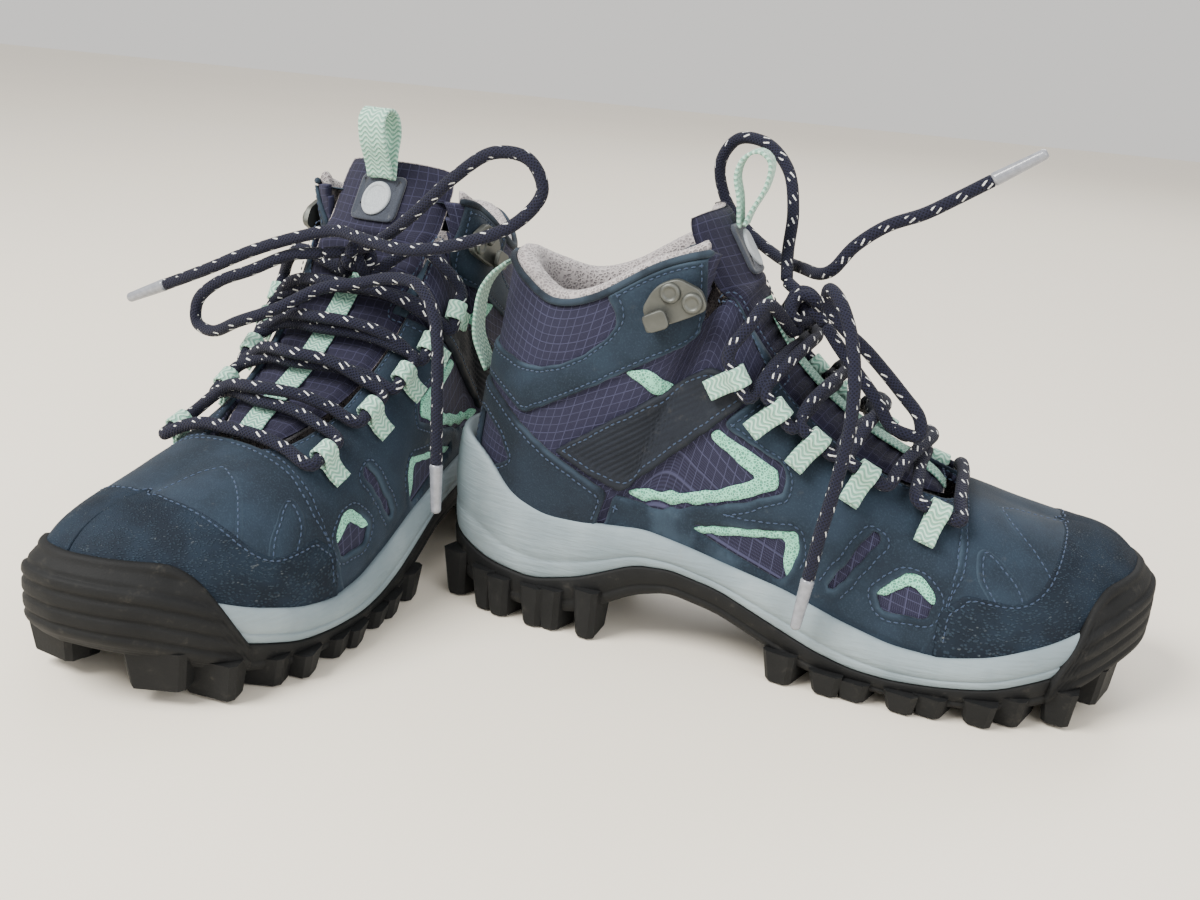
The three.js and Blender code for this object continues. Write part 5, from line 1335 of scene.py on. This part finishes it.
def make_tongue(boot):
    shares = np.linspace(-1, 1, 41)
    front = []
    for s in np.linspace(5.05, 9.45, 74) / LAST_RIB:
        ridge = float(skin(s, 1.0)[0])
        half = np.interp(ridge, *zip(*TONGUE_EDGE_X))
        front.append(rib_across(s, shares, half, -0.6))
    for z in np.linspace(FOLD_HEIGHT - 1, TONGUE_TOP, 26):
        rows = []
        for share in shares:
            half = TONGUE_WIDTH / 2 * (1 - 0.10 * max((z - 168) / 10, 0) ** 2)
            y = share * half
            top = z - (2.8 * abs(share) ** 3) * (z - FOLD_HEIGHT) / 28
            rows.append((tongue_front(top) - tongue_bend(y), y, top))
        front.append(np.array(rows))
    front = np.array(front)
    for _ in range(6):
        front[1:-1] = (front[:-2] + 2 * front[1:-1] + front[2:]) / 4
    down = np.gradient(front, axis=0)
    across = np.gradient(front, axis=1)
    normal = unit(np.cross(down, across))
    if normal[10, 20, 2] < 0:
        normal = -normal
    lengths = distances(front[:, 20])
    ends = np.minimum(lengths, lengths[-1] - lengths)[:, None]
    sides = (1 - np.abs(shares))[None] * 27
    thin = np.sqrt(np.clip(np.minimum(ends, sides) / 4, 0, 1))
    rib = (0.5 - 0.5 * np.cos(lengths * 2 * math.pi / TONGUE_RIB))[:, None] ** 0.7
    band = np.clip((sides - 2.5) / 2, 0, 1) * np.clip((ends - 3) / 3, 0, 1)
    ribbed = rib * band * np.clip((FOLD_HEIGHT + 3 - front[..., 2]) / 3, 0, 1)
    puff = np.clip(np.minimum(ends, sides) / 9, 0, 1) ** 0.6
    outer = front + normal * (-1.2 * (1 - thin) + 0.5 * puff + ribbed * 1.1 - 0.5)[..., None]
    inner = front - normal * (TONGUE_THICK * (0.35 + 0.6 * thin) * np.clip(puff + 0.45, 0, 1))[..., None]
    rows, columns = front.shape[:2]
    points = np.vstack([outer.reshape(-1, 3), inner.reshape(-1, 3)])
    count = rows * columns
    faces = grid_faces(rows, columns)
    faces += [tuple(k + count for k in reversed(f)) for f in grid_faces(rows, columns)]
    rim = list(range(columns)) + [i * columns + columns - 1 for i in range(1, rows)]
    rim += [(rows - 1) * columns + j for j in reversed(range(columns - 1))]
    rim += [i * columns for i in reversed(range(1, rows - 1))]
    faces += [(q, p, p + count, q + count) for p, q in zip(rim, rim[1:] + rim[:1])]
    flags = [0] * ((rows - 1) * (columns - 1)) + [1] * ((rows - 1) * (columns - 1)) + [0] * len(rim)
    flat = np.stack(np.broadcast_arrays(lengths[:, None], shares[None] * 28), -1).reshape(-1, 2)
    piece = make_piece(boot, "tongue", points, faces, "tongue", np.vstack([flat, flat]),
                       second=("lining", flags))
    tidy(piece, outward=True)
    low = boot.place([[117, 0, FOLD_HEIGHT - 5]])[0]
    high = boot.place([[116, 0, FOLD_HEIGHT + 5]])[0]
    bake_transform(piece)
    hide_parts(f"{boot.name}_tongue_lower", f"{boot.name}_tongue_top")
    spine = outer[:, 20] + normal[:, 20] * 0.55
    keep = spine[:, 2] < 146
    line = smooth_route(spine[keep][::4], 1.2)
    strip = ribbon(boot, "tongue_strip", line, 10.5, 0.9, "tape")
    settle(boot, strip, [])


def make_label(boot):
    """A plain square badge with a blank round boss, on the tongue's front."""
    lean = 1 / math.hypot(1, TONGUE_LEAN)

    def on_front(y, z, out):
        return (tongue_front(z) - tongue_bend(y) + out / lean, y, z)
    low, high = LABEL_HEIGHT - LABEL_TALL / 2, LABEL_HEIGHT + LABEL_TALL / 2
    side = LABEL_WIDE / 2
    corner = smooth_outline([(-side, low), (side, low), (side, high), (-side, high)], corner=3, step=1.5)
    rings = []
    for grow, out in ((0, 0.35), (0, 1.2), (-0.5, 1.6), (-1.3, 1.6), (-1.6, 1.35), (-6, 1.35)):
        ring = inset(corner, -grow) if grow else corner
        rings.append([on_front(y, z, out) for y, z in ring])
    faces = grid_faces(len(rings), len(corner), wrap=True) + end_faces(len(rings), len(corner))
    badge = make_piece(boot, "badge", np.vstack(rings), faces, "badge")
    settle(boot, tidy(badge, outward=True), ["tongue_label"], f"{boot.name}_tongue")
    turns = np.linspace(0, 2 * math.pi, 49)[:-1]
    profile = [(6.6, 1.2), (6.6, 2.0), (6.1, 2.3), (5.3, 2.3), (5.0, 1.9), (4.6, 1.75), (0.5, 1.75)]
    rings = [[on_front(r * math.cos(t), LABEL_HEIGHT + r * math.sin(t), out) for t in turns]
             for r, out in profile]
    faces = grid_faces(len(rings), len(turns), wrap=True) + end_faces(len(rings), len(turns))[1:]
    boss = make_piece(boot, "badge_boss", np.vstack(rings), faces, "badge_ring")
    settle(boot, tidy(boss, outward=True), [], f"{boot.name}_tongue")
    low = TONGUE_TOP - 5
    x = tongue_front(low) + 3.4
    line = [(x - 0.6, 0, low - 3), (x - 2, 0, low + 8), (x - 4, 0, low + 17), (x - 1.5, 0, low + 24),
            (x + 4, 0, low + 26.5), (x + 8.5, 0, low + 23), (x + 8, 0, low + 14), (x + 3, 0, low + 3),
            (x + 1.4, 0, low - 2)]
    loop = ribbon(boot, "tongue_loop", smooth_route(line, 1.2), PULL_WIDTH, WEBBING, "webbing")
    settle(boot, loop, ["tongue_loop"], f"{boot.name}_pull_loop")
    foot, top = RIBS[-1][[0, 1]], RIBS[-1][[4, 5]]

    def at(z, out):
        return (foot[0] + (top[0] - foot[0]) * (z - foot[1]) / (top[1] - foot[1]) - out, 0, z)
    line = [at(145, 2.6), at(139.5, 8), at(132, 11.6), at(122, 12), at(112, 10.6), at(104, 6.5), at(98, 2.8)]
    loop = ribbon(boot, "heel_loop", smooth_route(line, 1.2), PULL_WIDTH, WEBBING, "webbing")
    settle(boot, loop, ["heel_loop"])


# ---------------------------------------------------------------- lace loops, hooks and laces

LOOPS = {
    1: [(195.5, 73), (167.5, 85), (147.5, 96), (131.5, 107), (117, 120)],
    -1: [(196, 71.5), (171, 85), (152, 96), (137, 106), (123, 115.5)],
}
HOOK_AT = (91, 146)
HOOK_STAND = 1.4
LOOP_OUTER = LACE + 2 * 1.3 + 2 * WEBBING
LOOP_LIFT = 2.6 + LOOP_OUTER / 2
LOOP_REACH = LOOP_WIDTH / 2 + 4.6
LOOP_TURNS = np.radians([-20, 30, 80, 130, 180, 230])
OVER_TONGUE = LACE / 2 + 3
KNOT = np.array([136.0, 6, 143])
KNOT_DROP = 9 * 0.8 + LACE / 2 + 0.8


class Spot:
    """A place on the upper with its own directions: along the eyestay, inwards over the foot, and out."""

    def __init__(self, side, at, out):
        (s, v), = locate(side, (0, 2), [at])
        self.s, self.v, self.side = s, v, side
        u = up_side(side, v)
        self.normal = skin_normal(s, u)
        step = 0.01
        along = skin(s - step, u) - skin(s + step, u)
        self.pace = np.linalg.norm(along) / (2 * step)
        self.inward = unit(np.cross(self.normal, unit(along)))
        if self.inward[1] * side > 0:
            self.inward = -self.inward
        self.along = unit(np.cross(self.inward, self.normal))
        self.place = skin(s, u) + self.normal * out

    def at(self, a, b, c):
        return self.place + self.along * a + self.inward * b + self.normal * c


def over_skin(s, v, side, out):
    return on_skin(s, up_side(side, v), out)


def make_loops(boot):
    for side, word in SIDES:
        bands = []
        for at in LOOPS[side]:
            spot = Spot(side, at, LOOP_LIFT)
            r = LACE / 2 + 1.0
            line = [spot.at(0, -12.5, -LOOP_LIFT + 2.4), spot.at(0, -8, -LOOP_LIFT + 2.9)]
            line += [spot.at(0, -4.6, -r + 0.2)]
            line += [spot.at(0, r * math.sin(t), -r * math.cos(t)) for t in LOOP_TURNS]
            line += [spot.at(0, -4.8, -r + 2.2), spot.at(0, -8.4, -LOOP_LIFT + 4.3)]
            line += [spot.at(0, -12.3, -LOOP_LIFT + 3.6)]
            bands.append(ribbon(boot, "loop_part", smooth_route(line, 0.9), LOOP_WIDTH, 1.15, "webbing",
                                sideways=spot.along))
        piece = join_pieces(bands, f"{boot.name}_loops_{word}_look")
        settle(boot, piece, [f"loops_{word}"])


def join_pieces(parts, name):
    """One mesh piece from several with the same finish."""
    work = bmesh.new()
    for part in parts:
        work.from_mesh(part.data)
    first, *rest = parts
    work.to_mesh(first.data)
    work.free()
    for part in rest:
        bpy.data.objects.remove(part)
    first.name = name
    return first


def held_lace():
    """The laced stretch: from the knot down through the loops, over the toe end and back up."""
    outer = [Spot(1, at, LOOP_LIFT) for at in LOOPS[1]]
    inner = [Spot(-1, at, LOOP_LIFT) for at in LOOPS[-1]]

    def through(stop, to_toe):
        return [stop.place - stop.along * stop.side * end * to_toe * LOOP_REACH for end in (-1, 0, 1)]

    def climb(stop, end, middle, lift):
        start = stop.s - end * LOOP_REACH / stop.pace
        return lambda t, share: over_skin(start + (middle - start) * t, stop.v + (1 - stop.v) * t, stop.side,
                                          OVER_TONGUE + lift * share)

    def bridge(a, a_end, b, b_end, lift):
        middle = (a.s - a_end * LOOP_REACH / a.pace + b.s - b_end * LOOP_REACH / b.pace) / 2
        up, down = climb(a, a_end, middle, lift), climb(b, b_end, middle, lift)
        return [up(0.4, 0.3), up(0.75, 0.8), up(1, 1), down(0.75, 0.8), down(0.4, 0.3)]

    def to_knot(stop, side):
        rise = climb(stop, -1, stop.s + 0.02, 3)
        return [rise(0.3, 0.7), rise(0.6, 1), KNOT + [-2, side * 5, -KNOT_DROP]]
    down = [outer[4], inner[3], outer[2], inner[1], outer[0]]
    up = [inner[0], outer[1], inner[2], outer[3], inner[4]]
    run = to_knot(down[0], 1)[::-1]
    for i, stop in enumerate(down):
        if i:
            run += bridge(down[i - 1], 1, stop, -1, 0)
        run += through(stop, 1)
    run += bridge(down[-1], 1, up[0], 1, 0)
    for i, stop in enumerate(up):
        if i:
            run += bridge(up[i - 1], -1, stop, 1, LACE + 0.9)
        run += through(stop, -1)
    return run + to_knot(up[-1], -1)


BOWS = {
    "right": [
        [(127, -4, 150), (125, -14, 160), (124, -24, 175), (119, -33, 190), (108, -40, 199), (95, -46, 199),
         (88, -50, 188), (92, -52, 172), (104, -49, 160), (119, -38, 153), (131, -20, 153), (140, -4, 154.5),
         (145, 2, 158), (152, 4, 168), (163, 3, 177), (176, 2, 183), (187, 1, 190), (199, 0, 198)],
        [(145.5, 8, 137), (152, 12, 130), (160, 15, 122), (169, 18, 113), (176, 20, 104), (182, 22.5, 102.5),
         (187, 22.5, 102.5), (186, 21, 109), (179, 18, 116), (163, 17, 131), (153, 18, 139), (146, 18, 147),
         (146, 23, 154), (151, 31, 152), (157, 39, 142), (161, 46, 127), (162, 51, 108), (160, 54, 88),
         (157, 55, 68), (155, 55.5, 50)],
    ],
    "left": [
        [(140, 17, 148), (144, 28, 155), (147, 42, 166), (147, 58, 181), (146, 74, 192), (144, 88, 191),
         (143, 94, 180), (145, 85, 167), (149, 65, 157), (152, 40, 151), (150, 20, 152), (147, 4, 153),
         (149, -14, 148), (153, -34, 140), (156, -54, 130), (158, -76, 120)],
        [(143, -5, 142), (148, -18, 140), (153, -34, 132), (156, -49, 125), (158, -58, 116),
         (159, -58, 107), (161, -48, 105), (163, -33, 112), (161, -15, 120), (154, 2, 130), (149, 18, 134),
         (149, 32, 138), (151, 45, 138), (154, 54, 131), (157, 59, 118), (159, 61, 101), (160, 62, 84),
         (160, 62.5, 68)],
    ],
}


def make_bows(boot):
    for letter, points in zip("ab", BOWS[boot.name]):
        route = smooth_route(points, 1.1)
        lace = tube(boot, f"bow_{letter}", route, LACE / 2, "lace")
        settle(boot, lace, [f"lace_bow_{letter}"])
        tip, before = np.array(points[-1], float), np.array(points[-2], float)
        heading = unit(tip - before)
        start, end = tip - heading * 1.0, tip + heading * (0.3 + AGLET_LENGTH)
        line = start + (end - start) * np.linspace(0, 1, 40)[:, None]
        sleeve = tube(boot, f"aglet_{letter}", line, AGLET_RADIUS, "aglet", sides=18, taper=0.24)
        settle(boot, sleeve, [f"aglet_{letter}"])
        tuple(boot.place([points[0]])[0])
        boot.place(route).tolist()


def make_held_lace(boot):
    lace = tube(boot, "lace", smooth_route(held_lace(), 1.2), LACE / 2, "lace")
    settle(boot, lace, ["lace_laced"])
    turns = []
    for centre, tall, wide, tilt in ((KNOT, 6.6, 5.2, 0.15), (KNOT + [0.8, 2.6, -0.5], 6.0, 5.0, -0.5)):
        loop = [centre + [math.cos(t) * wide, math.sin(tilt) * 4 * math.cos(t) + 1.6 * math.sin(2 * t),
                          math.sin(t) * tall * 0.85] for t in np.linspace(0, 2 * math.pi, 40)]
        turns.append(tube(boot, "knot_turn", np.array(loop), LACE / 2, "lace"))
    starts = [points[0] for points in BOWS[boot.name]]
    ends = [KNOT + [-2, 5, -KNOT_DROP], KNOT + [-2, -5, -KNOT_DROP]]
    for start, end in zip(starts, ends):
        start, end = np.array(start, float), np.array(end, float)
        middle = KNOT + (start - KNOT) * 0.25 + [1.5, 0, 0]
        route = smooth_route([end, (end + middle) / 2 + [1.5, 0, 0], middle, start], 1.0)
        turns.append(tube(boot, "knot_turn", route, LACE / 2, "lace"))
    knot = join_pieces(turns, f"{boot.name}_knot_look")
    settle(boot, knot, ["lace_knot"])


HOOK_PLATE_TOP = 2.0
# Along the eyestay and inwards over the foot.
HOOK_PLATE = ((-12, -1), (-12, 6.5), (-3, 7.5), (11, 7.5), (12, -1), (4, -8), (-5, -8))
HOOK_TAB = ((2.5, 0.5), (2.5, 8.0), (11.5, 8.0), (12, 1))
HOOK_NECK = ((9.3, 1.2), (9.3, 7.8), (12, 7.8), (12, 1.2))


def plate(boot, name, spot, outline, low, high, finish, edge=0.5):
    """A flat metal plate on a spot's own directions, with broken edges."""
    shape = smooth_outline(outline, corner=2.6, step=0.9)
    rings = []
    for grow, c in ((0, low), (0, high - edge), (-0.15, high - 0.15), (-edge, high)):
        ring = inset(shape, -grow) if grow else shape
        rings.append([spot.at(a, b, c) for a, b in ring])
    faces = grid_faces(len(rings), len(shape), wrap=True) + end_faces(len(rings), len(shape))
    piece = make_piece(boot, name, np.vstack(rings), faces, finish, smooth=False)
    return tidy(piece, outward=True, distance=0.001)


RIVET_PROFILE = [(1.0, 0), (1.0, 0.35), (0.93, 0.6), (0.78, 0.82), (0.62, 0.78), (0.58, 0.6), (0.3, 0.66),
                 (0.04, 0.68)]   # shares of the radius and of the height
RIVET_RADIUS, RIVET_TALL = 4.0, 1.9


def rivet(boot, spot, a, b):
    """A dished rivet head on the hook's plate."""
    turns = np.linspace(0, 2 * math.pi, 33)[:-1]
    rings = [[spot.at(a + RIVET_RADIUS * r * math.cos(t), b + RIVET_RADIUS * r * math.sin(t),
                      HOOK_PLATE_TOP + RIVET_TALL * h) for t in turns] for r, h in RIVET_PROFILE]
    faces = grid_faces(len(rings), len(turns), wrap=True) + end_faces(len(rings), len(turns))
    return tidy(make_piece(boot, "rivet", np.vstack(rings), faces, "metal"), outward=True, distance=0.001)


def make_hooks(boot):
    for side, word in SIDES:
        spot = Spot(side, HOOK_AT, 1.6 + HOOK_STAND)
        toe = -side
        parts = [plate(boot, name, spot, [(toe * a, b) for a, b in outline], low, high, "metal")
                 for name, outline, low, high in (("plate", HOOK_PLATE, -0.6, HOOK_PLATE_TOP),
                                                  ("tab", HOOK_TAB, 5.0, 6.9), ("neck", HOOK_NECK, 1.5, 6.0))]
        parts += [rivet(boot, spot, -toe * 7.2, 2.4), rivet(boot, spot, -toe * 0.5, -3.6)]
        piece = join_pieces(parts, f"{boot.name}_hook_{word}_look")
        settle(boot, piece, [f"hook_{word}"])


# ---------------------------------------------------------------- stitches, made by geometry nodes

STITCH_SIZES = {"Spacing": 2.7, "Length": 1.9, "Thickness": 0.62}


def stitch_tree():
    """Seam lines in, a row of thread stitches out."""
    tree = bpy.data.node_groups.new("seam_stitches", "GeometryNodeTree")
    face = tree.interface
    face.new_socket("Geometry", in_out="INPUT", socket_type="NodeSocketGeometry")
    sizes = {}
    for name, value in STITCH_SIZES.items():
        socket = face.new_socket(name, in_out="INPUT", socket_type="NodeSocketFloat")
        socket.default_value = value * MM
        sizes[name] = socket.identifier
    finish = face.new_socket("Thread", in_out="INPUT", socket_type="NodeSocketMaterial")
    sizes["Thread"] = finish.identifier
    face.new_socket("Geometry", in_out="OUTPUT", socket_type="NodeSocketGeometry")

    def node(kind, **settings):
        made = tree.nodes.new(kind)
        for key, value in settings.items():
            setattr(made, key, value)
        return made
    start, end = node("NodeGroupInput"), node("NodeGroupOutput")
    curve = node("GeometryNodeMeshToCurve")
    spaced = node("GeometryNodeResampleCurve", mode="LENGTH")
    grain = node("GeometryNodeMeshIcoSphere")
    grain.inputs["Radius"].default_value = 0.5
    grain.inputs["Subdivisions"].default_value = 2
    size = node("ShaderNodeCombineXYZ")
    turn = node("FunctionNodeAlignEulerToVector", axis="Z")
    heading = node("GeometryNodeInputTangent")
    put = node("GeometryNodeInstanceOnPoints")
    real = node("GeometryNodeRealizeInstances")
    paint = node("GeometryNodeSetMaterial")
    link = tree.links.new
    link(start.outputs["Geometry"], curve.inputs[0])
    link(curve.outputs[0], spaced.inputs["Curve"])
    link(start.outputs["Spacing"], spaced.inputs["Length"])
    link(spaced.outputs[0], put.inputs["Points"])
    link(grain.outputs["Mesh"], put.inputs["Instance"])
    link(heading.outputs[0], turn.inputs["Vector"])
    link(turn.outputs[0], put.inputs["Rotation"])
    for axis in ("X", "Y"):
        link(start.outputs["Thickness"], size.inputs[axis])
    link(start.outputs["Length"], size.inputs["Z"])
    link(size.outputs[0], put.inputs["Scale"])
    link(put.outputs[0], real.inputs[0])
    link(real.outputs[0], paint.inputs["Geometry"])
    link(start.outputs["Thread"], paint.inputs["Material"])
    link(paint.outputs[0], end.inputs[0])
    return tree, sizes


def make_stitches(boot, tree, sizes):
    points, edges = [], []
    for line, shown in SEAMS[boot.name]:
        start = len(points)
        points += boot.place(line).tolist()
        count = len(line)
        edges += [(start + k, start + (k + 1) % count) for k in range(count)
                  if shown[k] and shown[(k + 1) % count]]
    mesh = bpy.data.meshes.new("seam_lines")
    mesh.from_pydata(points, edges, [])
    lines = in_scene("seam_lines", mesh)
    rows = lines.modifiers.new("stitches", "NODES")
    rows.node_group = tree
    for name, value in STITCH_SIZES.items():
        rows[sizes[name]] = value * MM
    rows[sizes["Thread"]] = FINISHES["thread"]
    shaped = lines.evaluated_get(bpy.context.evaluated_depsgraph_get())
    made = bpy.data.meshes.new_from_object(shaped)
    bpy.data.objects.remove(lines)
    piece = in_scene(f"{boot.name}_stitches_look", made)
    made.shade_smooth()
    settle(boot, piece, [])


# ---------------------------------------------------------------- the scene

set_camera()
for boot in BOOTS:
    make_bows(boot)
    make_held_lace(boot)
stitches, stitch_sizes = stitch_tree()
for boot in BOOTS:
    make_shell(boot)
    make_panels(boot)
    make_midsole(boot)
    make_outsole(boot)
    make_bumper(boot)
    make_bed(boot)
    make_collar(boot)
    make_tongue(boot)
    make_label(boot)
    make_loops(boot)
    make_hooks(boot)
    make_stitches(boot, stitches, stitch_sizes)

lay_floor()
for lamp in LAMPS:
    add_light(*lamp)
set_sky()
